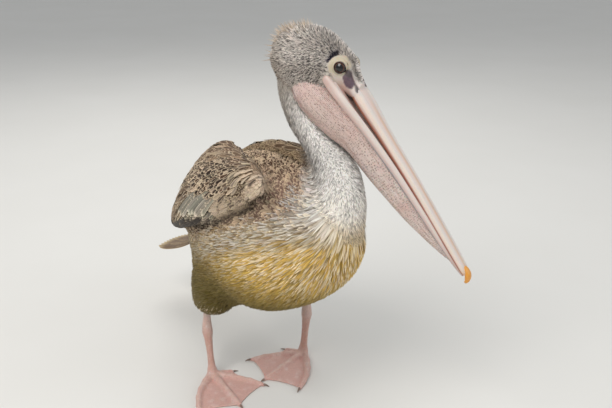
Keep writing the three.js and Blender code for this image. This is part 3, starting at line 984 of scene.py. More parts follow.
def follow_skin(co, heading, length, rows):
    """Points and normals along the skin from each root, step by step, with the heading kept on it."""
    at, way = co.copy(), heading.copy()
    points, ups = [], []
    for row in range(rows + 1):
        if row:
            at = at + way * (length / rows)[:, None]
        hits = [skin_tree.find_nearest(Vector(p)) for p in at]
        at = np.array([h[0] for h in hits])
        up = np.array([h[1] for h in hits])
        if row:
            up = unit(0.5 * up + 0.5 * ups[-1])
        way = onto_surface(way, up)
        points.append(at)
        ups.append(up)
    return np.stack(points, 1), np.stack(ups, 1)


def closing(s, start, power):
    """1 up to start, then rounding off to 0 at the tip."""
    return np.sqrt(np.maximum(0, 1 - np.maximum(0, (s - start) / (1 - start)) ** power))


COAT_CAMBER, FREE_CAMBER = 0.22, 0.18  # how far a vane bows across, as a share of its half width
BAKE_PATCH = 0.003  # side of a feather's own patch in the unwrap
SHAPES = {  # half width along the feather, as shares
    "tuft": lambda s: np.maximum(0.05, (0.8 + 0.4 * s) * (1 - s**1.7)),
    "lance": lambda s: np.maximum(0.06, np.sin(np.pi * (0.12 + 0.88 * s)) ** 0.7),
    "round": lambda s: np.maximum(0.1, (0.45 + 0.75 * np.minimum(s, 0.6)) * closing(s, 0.62, 2.2)),
    "blade": lambda s: np.maximum(0.08, (0.6 + 0.4 * s) * closing(s, 0.8, 2)),
}


def weights_at(co):
    """How much of each place of the skin belongs to each solid."""
    return np.array([region[skin_faces[skin_tree.find_nearest(Vector(p))[2]][0]] for p in co])


def short_of(roots, length, *starts):
    """Lengths cut back so that no feather lies over the parts whose names start so."""
    length = np.full(len(roots["co"]), length)
    reach = np.ones(len(length))
    for share in (1.0, 0.75, 0.5, 0.25):
        there = weights_at(roots["co"] + roots["flow"] * (length * share)[:, None])
        reach[share_of(there, *starts) > 0.5] = share
    return length * np.where(reach < 1, np.maximum(reach - 0.1, 0.2), 1)


def lay(name, roots, slot, material, length, width, shape, rows, columns, rise=1.0, jitter=0.12, curl=0.0,
        colours=None, lift=0.3 * MM, follow=True, uneven=0.22, seed=1):
    """Joins one feather per root into a piece. Each lies back over the next and rises to its tip."""
    local = np.random.default_rng(seed)
    count = len(roots["co"])
    length = np.broadcast_to(length, count) * (1 + 0.3 * (local.random(count) - 0.5))
    width = np.broadcast_to(width, count) * (1 + 0.24 * (local.random(count) - 0.5))
    normal = roots["normal"]
    turn = local.normal(0, jitter, count)[:, None]
    heading = onto_surface(roots["flow"] + np.cross(normal, roots["flow"]) * turn, normal)
    s = np.linspace(0, 1, rows + 1)
    if follow:
        points, ups = follow_skin(roots["co"], heading, length, rows)
    else:
        points = roots["co"][:, None] + heading[:, None] * (s[None, :, None] * length[:, None, None])
        ups = np.repeat(normal[:, None], rows + 1, axis=1)
    top = roots["depth"] * rise * (0.85 + 0.3 * local.random(count))
    height = lift + top[:, None] * s[None] + (curl * length)[:, None] * s[None] ** 2.5
    spine = points + ups * height[..., None]
    half = width[:, None] / 2 * SHAPES[shape](s)[None]
    tilt = local.normal(0, 0.18, count)
    colours = colours or colours_of(roots)
    shade = (1 + uneven * (local.random((count, 1)) - 0.5)) * (1 + 0.05 * (local.random((count, 3)) - 0.5))
    colours = [colour * shade for colour in colours]
    patch = unwrap(roots["co"], roots["weights"], normal)
    return join_vanes(name, slot, material, spine, ups, half, columns, COAT_CAMBER, tilt, colours, patch)


def join_vanes(name, slot, material, spine, ups, half, columns, camber, tilt, colours, patch):
    """One piece of many vanes, each along its spine, bowed across by camber and rolled by tilt."""
    count, stops, _ = spine.shape
    ahead = unit(np.gradient(spine, axis=1))
    aside = unit(np.cross(ups, ahead))
    offset = np.linspace(-1, 1, columns)
    reach = (half[:, :, None] * offset)[..., None]
    sag = (half[:, :, None] * camber * offset**2)[..., None]
    rise = reach * tilt[:, None, None, None] - sag
    co = spine[:, :, None] + aside[:, :, None] * reach + ups[:, :, None] * rise
    vertex_count = stops * columns
    first = (np.arange(stops - 1)[:, None] * columns + np.arange(columns - 1)[None]).ravel()
    quad = np.stack([first, first + 1, first + columns + 1, first + columns], 1)
    faces = (np.arange(count)[:, None, None] * vertex_count + quad[None]).reshape(-1, 4)
    mesh = bpy.data.meshes.new(name)
    mesh.from_pydata(co.reshape(-1, 3), [], faces)
    flat = np.stack(np.meshgrid(np.linspace(0, 1, columns), np.linspace(0, 1, stops)), -1).reshape(-1, 2)
    vane_uv = np.tile(flat[quad.ravel()], (count, 1))
    mesh.uv_layers.new(name="vane").data.foreach_set("uv", vane_uv.astype(np.float32).ravel())
    bake = np.repeat(patch, len(quad) * 4, axis=0) + BAKE_PATCH * (vane_uv - 0.5)
    mesh.uv_layers.new(name="OFBake").data.foreach_set("uv", bake.astype(np.float32).ravel())
    for layer, colour in zip(("tint", "fringe", "shaft"), colours):
        paint_vertices(mesh, layer, np.repeat(colour, vertex_count, axis=0))
    return finish_piece(new_object(name, mesh), slot, material)


# --- Unwrap -----------------------------------------------------------------------------------------

TILES = {  # corner and size of each part's tile in the unwrap
    "trunk": (0.02, 0.02, 0.46, 0.46),
    "wing_right": (0.52, 0.02, 0.21, 0.46),
    "wing_left": (0.76, 0.02, 0.21, 0.46),
    "neck": (0.02, 0.52, 0.3, 0.28),
    "head": (0.36, 0.52, 0.28, 0.28),
    "thigh_right": (0.68, 0.52, 0.13, 0.13),
    "thigh_left": (0.84, 0.52, 0.13, 0.13),
}


def unwrap(co, weights, normal):
    """Each part of the skin rolled out from its own axis onto its own tile."""
    points = in_mm(BODY, co)
    uv = np.zeros((len(co), 2))
    groups = list(TILES)
    strength = np.stack([share_of(weights, group) for group in groups], 1)
    chosen = strength.argmax(axis=1)
    for index, group in enumerate(groups):
        rows = chosen == index
        if not rows.any():
            continue
        p = points[rows]
        if group == "trunk":
            angle, along = np.arctan2(p[:, 1], p[:, 2] - 270), (p[:, 0] + 240) / 480
        elif group == "neck":
            share, at, _ = along_line(p, NECK_SPINE)
            angle, along = np.arctan2(p[:, 1] - at[:, 1], at[:, 0] - p[:, 0]), share
        elif group == "head":
            q = in_mm(HEAD, co[rows])
            angle, along = np.arctan2(q[:, 1], q[:, 2]), (q[:, 0] + 75) / 165
        elif group.startswith("wing"):
            side = group.split("_")[1]
            along, across, _ = wing_place(p, side)
            outward = normal[rows][:, 1] * SIDES[side]
            angle = np.where(outward > 0, 1, -1) * np.arccos(np.clip(across, -1, 1))
        else:
            side = group.split("_")[1]
            angle = np.arctan2(p[:, 1] - SIDES[side] * STANCE * 0.85, p[:, 0])
            along = (p[:, 2] - 90) / 160
        left, low, wide, high = TILES[group]
        uv[rows, 0] = left + wide * (0.5 + angle / (2 * np.pi))
        uv[rows, 1] = low + high * np.clip(along, 0, 1)
    return uv


# --- Legs and feet ----------------------------------------------------------------------------------

ANKLE_AHEAD = {"right": -3, "left": 1}
FOOT_HEADING = {"right": 4, "left": -63}  # degrees
TOE_LENGTH = {"outer": 114, "middle": 108, "inner": 94, "hind": 36}
TOE_SPREAD = {"outer": -34, "middle": 0, "inner": 40, "hind": 78}  # degrees inward from the middle toe
TOE_BOW = {"outer": 10, "middle": 0, "inner": -3, "hind": 0}
KNUCKLES = {"outer": (0.22, 0.42, 0.62, 0.82), "middle": (0.28, 0.56, 0.82)}
KNUCKLES |= {"inner": (0.34, 0.72), "hind": (0.5,)}
WEB_LOW, WEB_THICK = 0.3, 2.4  # mm


def toe_line(side, toe, share):
    """Points of a toe's middle line over the floor, in mm in the body's frame."""
    share = np.asarray(share, float)
    angle = math.radians(FOOT_HEADING[side] - SIDES[side] * TOE_SPREAD[toe])
    length = share * TOE_LENGTH[toe]
    bow = TOE_BOW[toe] * SIDES[side] * np.sin(np.pi * np.maximum(share, 0))
    x = ANKLE_AHEAD[side] + math.cos(angle) * length - math.sin(angle) * bow
    y = STANCE * SIDES[side] + math.sin(angle) * length + math.cos(angle) * bow
    return x, y


def toe_bm(side, toe):
    girth = 0.8 if toe == "hind" else 1
    share = np.linspace(0, 0.985, 34)
    x, y = toe_line(side, toe, share)
    swelling = sum(np.exp(-(((share - k) / 0.035) ** 2)) for k in KNUCKLES[toe])
    wide = girth * (np.interp(share, (0, 0.18, 0.45, 0.75, 1), (9, 6.6, 5.2, 4.5, 3.4)) + 0.9 * swelling)
    tall = girth * (np.interp(share, (0, 0.18, 0.45, 0.75, 1), (8, 7.4, 6.4, 5.6, 3.6)) + 1.0 * swelling)
    low = np.interp(share, (0, 1), (2.4, 2.0))
    return swept(np.stack([x, y, low, wide, tall, low], 1), 20, 90, BODY)


def web_bm(side, first, second):
    """The thin skin between two toes, out almost to their tips and only slightly hollowed at its edge."""
    bm = bmesh.new()
    grid = bmesh.ops.create_grid(bm, x_segments=14, y_segments=26, size=0.5)
    for v in grid["verts"]:
        over, out = v.co.x + 0.5, v.co.y + 0.5
        reach = out * (0.96 - 0.035 * math.sin(math.pi * over))
        near, far = toe_line(side, first, reach), toe_line(side, second, reach)
        x, y = (near[k] * (1 - over) + far[k] * over for k in (0, 1))
        v.co = BODY @ (Vector((x, y, WEB_LOW)) * MM)
    faces = bmesh.ops.extrude_face_region(bm, geom=bm.faces[:])
    top = [v for v in faces["geom"] if isinstance(v, bmesh.types.BMVert)]
    bmesh.ops.translate(bm, verts=top, vec=(0, 0, WEB_THICK * MM))
    bmesh.ops.recalc_face_normals(bm, faces=bm.faces[:])
    return bm


def upper_shank(side):
    """The length of the leg that runs on up inside the feathers of the thigh."""
    co = positions(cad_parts["shank_" + side].data) / MM
    top = co[co[:, 2] > co[:, 2].max() - 6]
    middle = (top.min(axis=0) + top.max(axis=0)) / 2
    girth = (top.max(axis=0) - top.min(axis=0))[1] / 2
    stations = [(*(middle + np.array([0, 0, rise])), girth, girth, girth) for rise in (-8, 2, 14, 26)]
    return swept(stations, 20, 24, Matrix.Identity(4), up=(1, 0, 0))


def build_leg_mesh():
    """Shanks, toes and webs as one closed skin."""
    parts = [f"{kind}_{side}" for side in SIDES for kind in ("shank", "foot")]
    parts += [toe_bm(side, toe) for side in SIDES for toe in TOES]
    parts += [web_bm(side, *pair) for side in SIDES for pair in (("outer", "middle"), ("middle", "inner"))]
    parts += [upper_shank(side) for side in SIDES]
    mesh = one_skin("legs", parts, LEG_SWELL, LEG_VOXEL)
    place_vertices(mesh, spread(positions(mesh), edge_pairs(mesh), 6))
    co, up = positions(mesh), normals(mesh)
    creases = np.array([noise.noise(Vector(p) * 90) + 0.5 * noise.noise(Vector(p) * 230) for p in co])
    top = np.clip(up[:, 2], 0, 1) * ramp(co[:, 2], 9 * MM, 4 * MM)
    co = co + up * (0.45 * MM * creases * top)[:, None]
    co[:, 2] = np.maximum(co[:, 2], 0.05 * MM)
    place_vertices(mesh, co)
    height = co[:, 2] / MM
    tint = coats(
        "web_mauve",
        ("leg_pink", ramp(height, 8, 16)),
        ("horn_pink", 0.7 * ramp(height, 4.5, 7.5) * ramp(height, 26, 12)),
        ("down_white", 0.2 * ramp(creases, 0.0, 0.8)),
        ("down_grey", 0.35 * ramp(height, 60, 100)),
    )
    paint_vertices(mesh, "tint", tint)
    return mesh


# --- Bill -------------------------------------------------------------------------------------------


def slack(angle):
    """A pouch's outline, a little squarer than round."""
    c, d = np.cos(angle), np.sin(angle)
    return np.sign(c) * np.abs(c) ** 0.85, np.sign(d) * np.abs(d) ** 0.85


def build_upper_bill(horn):
    stations = [(-24, 0, -13, 9, 2, 6), (-4, 0, -14, 15, 3, 9.5), (20, 0, -13, 19, 5.5, 12)]
    stations += [(80, 0, -11, 15, 5, 10), (160, 0, -7, 13, 5, 8.5), (230, 0, -5, 12.5, 4.5, 6)]
    stations += [(283, 0, -4, 11.5, 4, 4.5), (303, 0, -4.5, 8.5, 3.6, 3.6)]
    mesh = mesh_of(swept(stations, 72, 170, BILL, ridged), "bill_upper")
    x, y, z = in_mm(BILL, positions(mesh)).T
    side = np.abs(y) / np.interp(x, (-16, 18, 80, 160, 230, 283, 303), (19, 20, 15, 13, 12.5, 11.5, 8))
    below = np.interp(x, (-12, 20, 80, 160, 230, 283, 303), (-14, -13, -11, -7, -5, -4, -4.5)) - z
    deep = np.interp(x, (0, 80, 160, 283), (4.8, 2.6, 1.6, 0.4))
    tint = coats(
        "horn_pink",
        ("horn_white", 0.55 + 0.4 * ramp(side, 0.2, 0.6)),
        ("horn_amber", 0.2 * ramp(side, 0.6, 0.97) * ramp(below, 2.0, -1.0)),
        ("horn_amber", 0.45 * ramp(side, 0.3, 0.05) * ramp(x, 10, 60)),
        ("horn_amber", 0.3 * ramp(x, 40, -10) * ramp(below, 1, 5)),
        ("tomium_rust", 0.9 * ramp(below - deep, -1.2, 1.2)),
        ("nail_orange", 0.35 * ramp(x, 284, 303)),
    )
    return tinted("bill_upper_horn", mesh, tint, "bill", horn)


def build_nail(horn):
    stations = [(290, 0, -1.5, 3, 1.4, 1.5), (296, 0, -1.2, 6, 3.2, 2), (303, 0, -2.5, 7, 4.4, 4)]
    stations += [(308.5, 0, -5.6, 5.4, 4, 4.4), (311.5, 0, -9.6, 3.6, 2.8, 3.2)]
    stations += [(311.2, 0, -13.4, 1.3, 1.3, 1.3)]
    mesh = mesh_of(swept(stations, 40, 60, BILL), "bill_nail")
    tint = coats("nail_orange", ("horn_white", 0.55 * ramp(in_mm(BILL, positions(mesh))[:, 2], -9, -16)))
    return tinted("bill_nail_horn", mesh, tint, "nail", horn)


def build_lower_bill(horn):
    """Two long branches, each with a strip of lip along its inner edge."""
    branch = [(-34, 29, -38, 3.6, 6.6, 6.6), (-12, 29, -35, 4.6, 7.2, 7.2), (13, 28, -31, 4.6, 7, 7)]
    branch += [(60, 22, -25.5, 4.1, 6.5, 6.5), (126, 17, -19, 3.6, 6, 6), (200, 13, -14, 3.3, 4.8, 4.8)]
    branch += [(263, 8, -11, 3, 3.8, 3.8), (303, -1, -10.5, 3, 3, 3)]
    lip = [(-22, 21, -30.5, 6, 2.4, 2.4), (13, 21, -28.5, 5.5, 2.4, 2.4), (60, 16.5, -24, 4, 2, 2)]
    lip += [(120, 13, -18.5, 3, 1.6, 1.6)]
    bm = bmesh.new()
    for side in SIDES.values():
        for stations, around in ((branch, 28), (lip, 16)):
            here = [(x, side * y, *rest) for x, y, *rest in stations]
            add_parts(bm, [swept(here, around, 130, BILL)])
    mesh = mesh_of(bm, "bill_lower")
    x, y, z = in_mm(BILL, positions(mesh)).T
    above = z - np.interp(x, (-34, 13, 126, 200, 263, 303), (-38, -31, -19, -14, -11, -10.5))
    inner = np.interp(x, (-34, 13, 60, 126, 200, 303), (25, 23.2, 17.7, 13.2, 9, -5)) - np.abs(y)
    tint = coats(
        "ramus_lilac",
        ("horn_white", 0.6 * ramp(above, -1, 3.5)),
        (PAINT["horn_pink"] * 0.85, 0.6 * ramp(x, 0, -30)),
        # painted shade: greyer along the lower side of each branch, next to the pouch
        (PAINT["horn_grey"] * 0.9, 0.8 * ramp(above, -0.5, -3.5) * ramp(x, 20, 110)),
        ("tomium_rust", 0.55 * ramp(inner, -0.6, 0.6)),
    )
    return tinted("bill_lower_horn", mesh, tint, "bill", horn)


def build_pouch_mesh():
    """The loose bag of skin under the lower bill, gathered into fine folds along it."""
    stations = [(-60, 0, -80, 10, 11, 13), (-45, 0, -77, 29, 22, 30), (-12, 0, -68, 36, 25, 36)]
    stations += [(22, 0, -57, 33, 25, 36), (60, 0, -43, 25, 19, 35), (123, 0, -37, 18, 19, 28)]
    stations += [(185, 0, -29, 12, 15, 21), (232, 0, -20, 9, 9, 14), (278, 0, -13.5, 4.5, 3, 4)]
    mesh = mesh_of(swept(stations, 88, 150, BILL, slack), "pouch")
    co, up = positions(mesh), normals(mesh)
    x, y, z = in_mm(BILL, co).T
    above = z - np.interp(x, [s[0] for s in stations], [s[2] for s in stations])
    angle = np.arctan2(above, y)
    folds = np.array([noise.noise(Vector((a * 7.5, s / 75, 0.7))) for a, s in zip(angle, x)])
    fine = np.array([noise.noise(Vector((a * 19, s / 40, 5.2))) for a, s in zip(angle, x)])
    rear = ramp(x, 20, -45)
    rings = np.sin(x / 2.6 + 2.5 * folds) * rear * ramp(x, -60, -40)
    relief = 1.0 * (1 - np.abs(folds) * 2) + 0.4 * fine + 0.3 * rings
    place_vertices(mesh, co + up * (relief * MM * ramp(x, 285, 230))[:, None])
    tint = coats(
        "pouch_beige",
        ("pouch_pink", 0.45 + 0.55 * rear),
        ("horn_white", 0.45 * ramp(x, 40, 140)),
        ("pouch_red", 0.35 * ramp(relief, 0.3, -0.5)),
        # painted shade: near black in the troughs of the folds low down at the rear
        (PAINT["pouch_red"] * 0.35, 0.7 * ramp(above, -8, -20) * rear * ramp(folds, 0.02, -0.14)),
    )
    paint_vertices(mesh, "tint", tint)
    return mesh


# --- Eyes -------------------------------------------------------------------------------------------


def eye_frame(side):
    """X along the look of the eye, out of its socket, Z towards the crown."""
    out = (HEAD.to_3x3() @ Vector((0.2, SIDES[side], 0.04))).normalized()
    across = UP.cross(out).normalized()
    matrix = Matrix((out, across, out.cross(across))).transposed().to_4x4()
    matrix.translation = node_centre("eye_" + side) - out * EYE_SET_IN
    return matrix


CORNEA = 0.045  # how far the front of the eye bulges, as a share of its radius
EYE_SHRINK = 0.985  # keeps the ball just inside its solid
LID_INNER, LID_OUTER = 7.7, 13.2  # mm from the middle of the eye
LIP_RISE, LID_GAP = 0.35 * MM, 0.25 * MM  # over the ball: of the wet edge, and of the lid at least
FACE_RISE = 0.6 * MM  # over the face at the outer edge
LID_PROBE = 30 * MM  # how far outside the eye the look for the face starts


def build_eye(side, wet):
    matrix = np.array(eye_frame(side))

    def place(a, s):
        angle, polar = 2 * np.pi * a, np.pi * s
        radius = EYE_RADIUS * (1 + CORNEA * np.exp(-((polar / 0.5) ** 2))) * EYE_SHRINK
        local = np.stack([np.cos(polar), np.sin(polar) * np.cos(angle), np.sin(polar) * np.sin(angle)], 1)
        return (local * radius[:, None]) @ matrix[:3, :3].T + matrix[:3, 3]

    mesh = mesh_of(wrapped_grid(48, 64, place), "eyeball_" + side)
    piece = finish_piece(new_object("eyeball_" + side, mesh), "eye", wet)
    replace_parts(piece, "eye_" + side)


def build_lids(side, bare):
    """The ring of folded skin round the eye, from the wet edge of the lids out to the face."""
    matrix = eye_frame(side)
    out = matrix.to_3x3() @ Vector((1, 0, 0))
    forward = 1 if side == "right" else -1  # which way round the beak lies, seen from outside

    def place(a, s):
        points = []
        for share, radial in zip(a, s):
            angle = 2 * math.pi * share
            toward_bill = math.cos(angle) * forward
            above = math.sin(angle)
            corner = max(0, toward_bill * 0.85 - above * 0.5) ** 3
            almond = 1 + 0.24 * corner - 0.07 * abs(above) ** 2
            inner = LID_INNER * MM * almond
            brow = max(0, above) * max(0, 0.4 + toward_bill)
            outer = (LID_OUTER - 2.6 * toward_bill + 0.5 * above - 1.4 * brow) * MM
            radius = inner + (outer - inner) * radial
            ball = math.sqrt(max(EYE_RADIUS**2 - radius**2, 0))
            y, z = radius * math.cos(angle), radius * math.sin(angle)
            probe = matrix @ Vector((LID_PROBE, y, z))
            hit = skin_tree.ray_cast(probe, -out, 2 * LID_PROBE)[0]
            ground = (hit - matrix.translation).dot(out) if hit else 0
            lip = math.sqrt(max(EYE_RADIUS**2 - inner**2, 0)) + LIP_RISE
            melt = radial * radial * (3 - 2 * radial)
            height = lip * (1 - melt) + (ground + FACE_RISE) * melt
            height = max(height, ball + LID_GAP * (radial < 0.6))
            # a wet rim, a fold outside it, and wrinkles
            height += 0.7 * MM * math.exp(-(((radial - 0.16) / 0.1) ** 2))
            height += 0.45 * MM * math.exp(-(((radial - 0.55) / 0.12) ** 2)) * (0.6 - 0.4 * above)
            wrinkle = math.sin(radial * 30 + 1.2 * math.sin(angle * 2 + 0.6))
            height += 0.28 * MM * wrinkle * radial * (1 - radial) * (2.2 - 1.6 * toward_bill - 1.2 * above)
            if radial < 1e-6:
                height = ball - 1.2 * MM
            if radial > 1 - 1e-6:
                height = ground - 1.5 * MM
            points.append(matrix @ Vector((height, y, z)))
        return points

    bm = wrapped_grid(96, 40, place, closed=False)
    if sum(f.normal.dot(out) for f in bm.faces) < 0:
        bmesh.ops.reverse_faces(bm, faces=bm.faces)
    mesh = mesh_of(bm, "lids_" + side)
    _, y, z = in_mm(matrix, positions(mesh)).T
    radius = np.hypot(y, z)
    corner = ramp(np.abs((y * forward) * 0.5 + z * 0.85), 3.4, 1.2) * ramp(y * forward, 6, 7.5)
    # painted shade: a darker line along the fold of the lower lid
    lower_fold_shade = np.exp(-(((radius - 10.3) / 0.7) ** 2))
    tint = coats(
        "skin_cream",
        ("skin_white", 0.7 * ramp(z, -4, -12)),
        (PAINT["ash"] * 1.2, 0.4 * lower_fold_shade * ramp(z, 4, -3)),
        (PAINT["lore_blue"] * 0.3, np.maximum(ramp(radius, 9.2, 8.1), corner)),
    )
    tinted("lids_" + side, mesh, tint, "head_feathers", bare)


# --- The skin object --------------------------------------------------------------------------------


def feather_cover(co, weights):
    """1 where the skin carries plumage, 0 where it is bare or buried inside the bill."""
    bx, _, bz = in_mm(BILL, co).T
    inside_bill = ramp(bx, -20, -8) * ramp(bz, -64, -50) * ramp(bz, -3, -9) * share_of(weights, "head")
    return (1 - bare_face(co)) * (1 - inside_bill)


def build_skin():
    finishes = (under_down_material(), bare_skin_material(), pouch_material(), leg_material())
    tint, _, shaft = markings(skin_co, region)
    # painted shade between the feathers: the skin under them at half their colour, three quarters on the neck
    under = blend(tint * 0.5, shaft, 0.75 * share_of(region, "head"))
    under = blend(under, tint * 0.75, share_of(region, "neck"))
    face = bare_face(skin_co)
    paint_vertices(body_mesh, "tint", blend(under, face_colour(skin_co), face))
    uv = unwrap(skin_co, region, skin_normal)
    corner = np.zeros(len(body_mesh.loops), int)
    body_mesh.loops.foreach_get("vertex_index", corner)
    body_mesh.uv_layers.new(name="OFBake").data.foreach_set("uv", uv[corner].astype(np.float32).ravel())
    starts = np.array([p.loop_start for p in body_mesh.polygons])
    body_mesh.polygons.foreach_set("material_index", (face[corner[starts]] > 0.5).astype(int))
    pouch, legs = build_pouch_mesh(), build_leg_mesh()
    for index, mesh in ((2, pouch), (3, legs)):
        for material in finishes:
            mesh.materials.append(material)
        mesh.polygons.foreach_set("material_index", np.full(len(mesh.polygons), index))
    body = new_object("skin", body_mesh)
    for material in finishes:
        body_mesh.materials.append(material)
    others = [new_object("pouch", pouch), new_object("legs", legs)]
    with bpy.context.temp_override(active_object=body, selected_editable_objects=[body, *others]):
        bpy.ops.object.join()
    finish_piece(body, "breast_feathers")
    legs = [f"{part}_{side}" for side in SIDES for part in ("shank", "foot")]
    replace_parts(body, *FEATHERED, "tail", "crest", "pouch", *legs)


build_skin()
horn, nail_horn = horn_material("bill_horn"), horn_material("nail_horn", 0.3)
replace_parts(build_upper_bill(horn), "bill_upper")
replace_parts(build_nail(nail_horn), "bill_nail")
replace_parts(build_lower_bill(horn), "bill_lower")
wet, lid_skin = eye_material(), bare_skin_material()
for eye_side in SIDES:
    build_eye(eye_side, wet)
    build_lids(eye_side, lid_skin)

# --- Claws ------------------------------------------------------------------------------------------


def build_claws(material):
    """Each claw as a smooth curved hook."""
    for side in SIDES:
        for toe in TOES:
            node = f"claw_{side}_{toe}"
            bm = bmesh.new()
            add_parts(bm, [node])
            bmesh.ops.remove_doubles(bm, verts=bm.verts, dist=WELD)
            bmesh.ops.recalc_face_normals(bm, faces=bm.faces)
            tint = np.tile(PAINT["claw_horn"], (len(bm.verts), 1))
            piece = tinted(node + "_horn", mesh_of(bm, node), tint, "claw", material)
            soft = piece.modifiers.new("rounded", "SUBSURF")
            soft.levels = soft.render_levels = 2
            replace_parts(piece, node)


build_claws(claw_material())

# --- Plumage ----------------------------------------------------------------------------------------

vane_soft = feather_material("soft_vane", 0.8, 22, 0.05, (0.6, 1.0))
vane_scaled = feather_material("edged_vane", 0.7, 26, 0.06, (0.62, 0.92))
vane_flight = feather_material("flight_vane", 0.6, 60, 0.05, (0.8, 0.98))
vane_spotted = feather_material("spotted_vane", 0.75, 24, 0.04, (0.74, 0.92))
plush = plush_material("plush", (0.1, 0.55))
neck_plush = plush_material("neck_plush", (-0.1, 0.4))

# mm between the roots of each coat, and the length and width of its feathers
COATS = {
    "head": (1.3, 3.6, 1.8),
    "neck": (1.6, 5.8, 1.8),
    "breast": (2.75, 33, 3.1),
    "back": (4.6, 14.5, 7.0),
    "wing": (4.2, 14, 5.2),
    "thighs": (2.6, 14, 2.8),
}


def wants(*starts):
    """How thickly feathers grow at each place on the parts whose names start so."""

    def wanted(co, weights):
        return np.clip(share_of(weights, *starts) * 1.6 - 0.3, 0, 1) * feather_cover(co, weights)

    return wanted


def chosen(roots, keep):
    return {key: value[keep] for key, value in roots.items()}


FACE_CLEAR = 0.35  # as bare as skin may be under a feather


def clear_of_face(roots, length):
    """Leaves out feathers whose tips would lie over the bare face."""
    tips, middles = (bare_face(roots["co"] + roots["flow"] * length * share) for share in (1, 0.5))
    return chosen(roots, (tips < FACE_CLEAR) & (middles < FACE_CLEAR))


def speckled(roots, seed, dark_share, dark=0.34):
    """Each tuft's colours made paler or darker than its neighbours', some of them almost black."""
    local = np.random.default_rng(seed)
    tint, fringe, shaft = colours_of(roots)
    draw = local.random(len(tint))
    shade = np.select([draw < dark_share, draw < dark_share + 0.3], [dark, 0.72], 1.12)[:, None]
    return tint * shade, fringe * shade, shaft


def lay_head():
    gap, long, wide = COATS["head"]
    roots = clear_of_face(sample_skin(gap * MM, wants("head"), 11), 3.2 * MM)
    x, y, z = in_mm(HEAD, roots["co"]).T
    high = ramp(z, 6, 28) * ramp(x, 66, 40)
    length = (long + 0.9 * high - 0.9 * ramp(x, 52, 72)) * MM
    lay("coat_head", roots, "head_feathers", plush, length, wide * MM, "tuft", 3, 2, follow=False, seed=21,
        jitter=0.5, lift=0.2 * MM, rise=0.75, curl=0.3 + 0.25 * high, uneven=0.3,
        colours=speckled(roots, 20, 0.2, 0.16))
    # longer ragged tufts in clumps, on crown and nape
    local = np.random.default_rng(31)
    crown = ramp(z, 29, 37) * ramp(x, 0, -12) * np.exp(-((y / 17) ** 2))
    nape = np.exp(-(((x + 52) / 12) ** 2) - ((z - 16) / 12) ** 2 - (y / 16) ** 2)
    clumps = ramp(cloud(roots["co"], 0.009, 8.0), 0.42, 0.6)
    ragged = chosen(roots, local.random(len(x)) < 0.42 * clumps * np.maximum(crown, 0.8 * nape))
    tint, fringe, shaft = speckled(ragged, 33, 0.12)
    pale = local.random(len(tint))
    tint = blend(tint, PAINT["crest_tan"] * 1.1, 0.3 + 0.6 * pale)
    length = (7 + 6 * local.random(len(tint))) * MM
    lay("crest_tufts", ragged, "crest_feathers", plush, length, 1.9 * MM, "tuft", 5, 2, follow=False, seed=32,
        jitter=0.8, rise=1.3, curl=0.8, colours=(tint, coats(fringe, ("crest_tan", 0.5)), shaft))


def lay_neck():
    gap, long, wide = COATS["neck"]
    roots = clear_of_face(sample_skin(gap * MM, wants("neck"), 12), 7 * MM)
    lay("coat_neck", roots, "head_feathers", neck_plush, long * MM, wide * MM, "tuft", 3, 2, follow=False,
        seed=22, jitter=0.3, uneven=0.3, rise=0.55, colours=speckled(roots, 34, 0.08, 0.45))


def streaked(roots, seed):
    """Breast colours broken into gold, pale, ashy and dark feathers side by side."""
    tint, fringe, shaft = colours_of(roots)
    points = in_mm(BODY, roots["co"])
    x, z = points[:, 0], points[:, 2]
    from_neck = off_neck(points)
    local = np.random.default_rng(seed)
    draw = local.random(len(tint))
    far, low, rear = gold_share(points), ramp(z, 275, 175), ramp(x, 110, -40)
    pale = 0.42 - 0.32 * low - 0.08 * rear
    gold = pale + 0.46 - 0.1 * rear
    ashy = gold + 0.08 + 0.12 * rear
    kinds = [draw < pale, draw < gold, draw < ashy]
    # darker and deeper gold low down: partly the belly's own colour, partly painted shade
    tones = (
        coats("cream", ("pale_low", low)),
        coats("gold", ("gold_low", np.maximum(low, rear))),
        PAINT["ash"],
        coats("gold_deep", ("flank_olive", np.maximum(rear, 0.6 * low))),
    )
    colour = np.select([kind[:, None] for kind in kinds], tones[:3], tones[3])
    colour = coats(colour, (coats("gold", ("gold_low", low)), 0.4 + 0.35 * np.maximum(low, rear)))
    # painted light and shade: brighter towards the front, darker low down and towards the rear
    front = ramp(x, 90, 190) * (1 - low)
    colour = colour * (1 + 0.3 * front - 0.2 * low)[:, None] * (1 - 0.36 * ramp(x, 170, 30))[:, None]
    # the lower mantle's dark and white spots run into the top of the breast
    over = mantle_edge(points)
    rim = np.maximum(ramp(over, -40, -8), 0.7 * ramp(over, -75, -20) * (1 - far)) * ramp(from_neck, 12, 46)
    rim *= 0.5 + 0.5 * ramp(x, 30, 150)
    dark = 0.85 * (local.random(len(draw)) > 0.5)
    spots = blend(PAINT["down_white"] * 0.72, PAINT["mantle_brown"] * 1.2, dark)
    colour = coats(tint, (colour, far), (PAINT["buff"] * 0.75, 0.55 * ramp(x, 20, -110)), (spots, 0.72 * rim))
    colour = np.minimum(colour, 1)
    return colour, blend(colour, fringe, 0.12), blend(colour * 0.7, shaft, 0.3)


def off_mantle(co, weights):
    points = in_mm(BODY, co)
    thigh = share_of(weights, "thigh") * ramp(points[:, 2], 122, 140)
    return np.maximum(wants("trunk")(co, weights) * (1 - on_mantle(points)), thigh)


BELLY_FROM = 70  # mm ahead of the ankles: behind this the feathers of the breast are the belly's


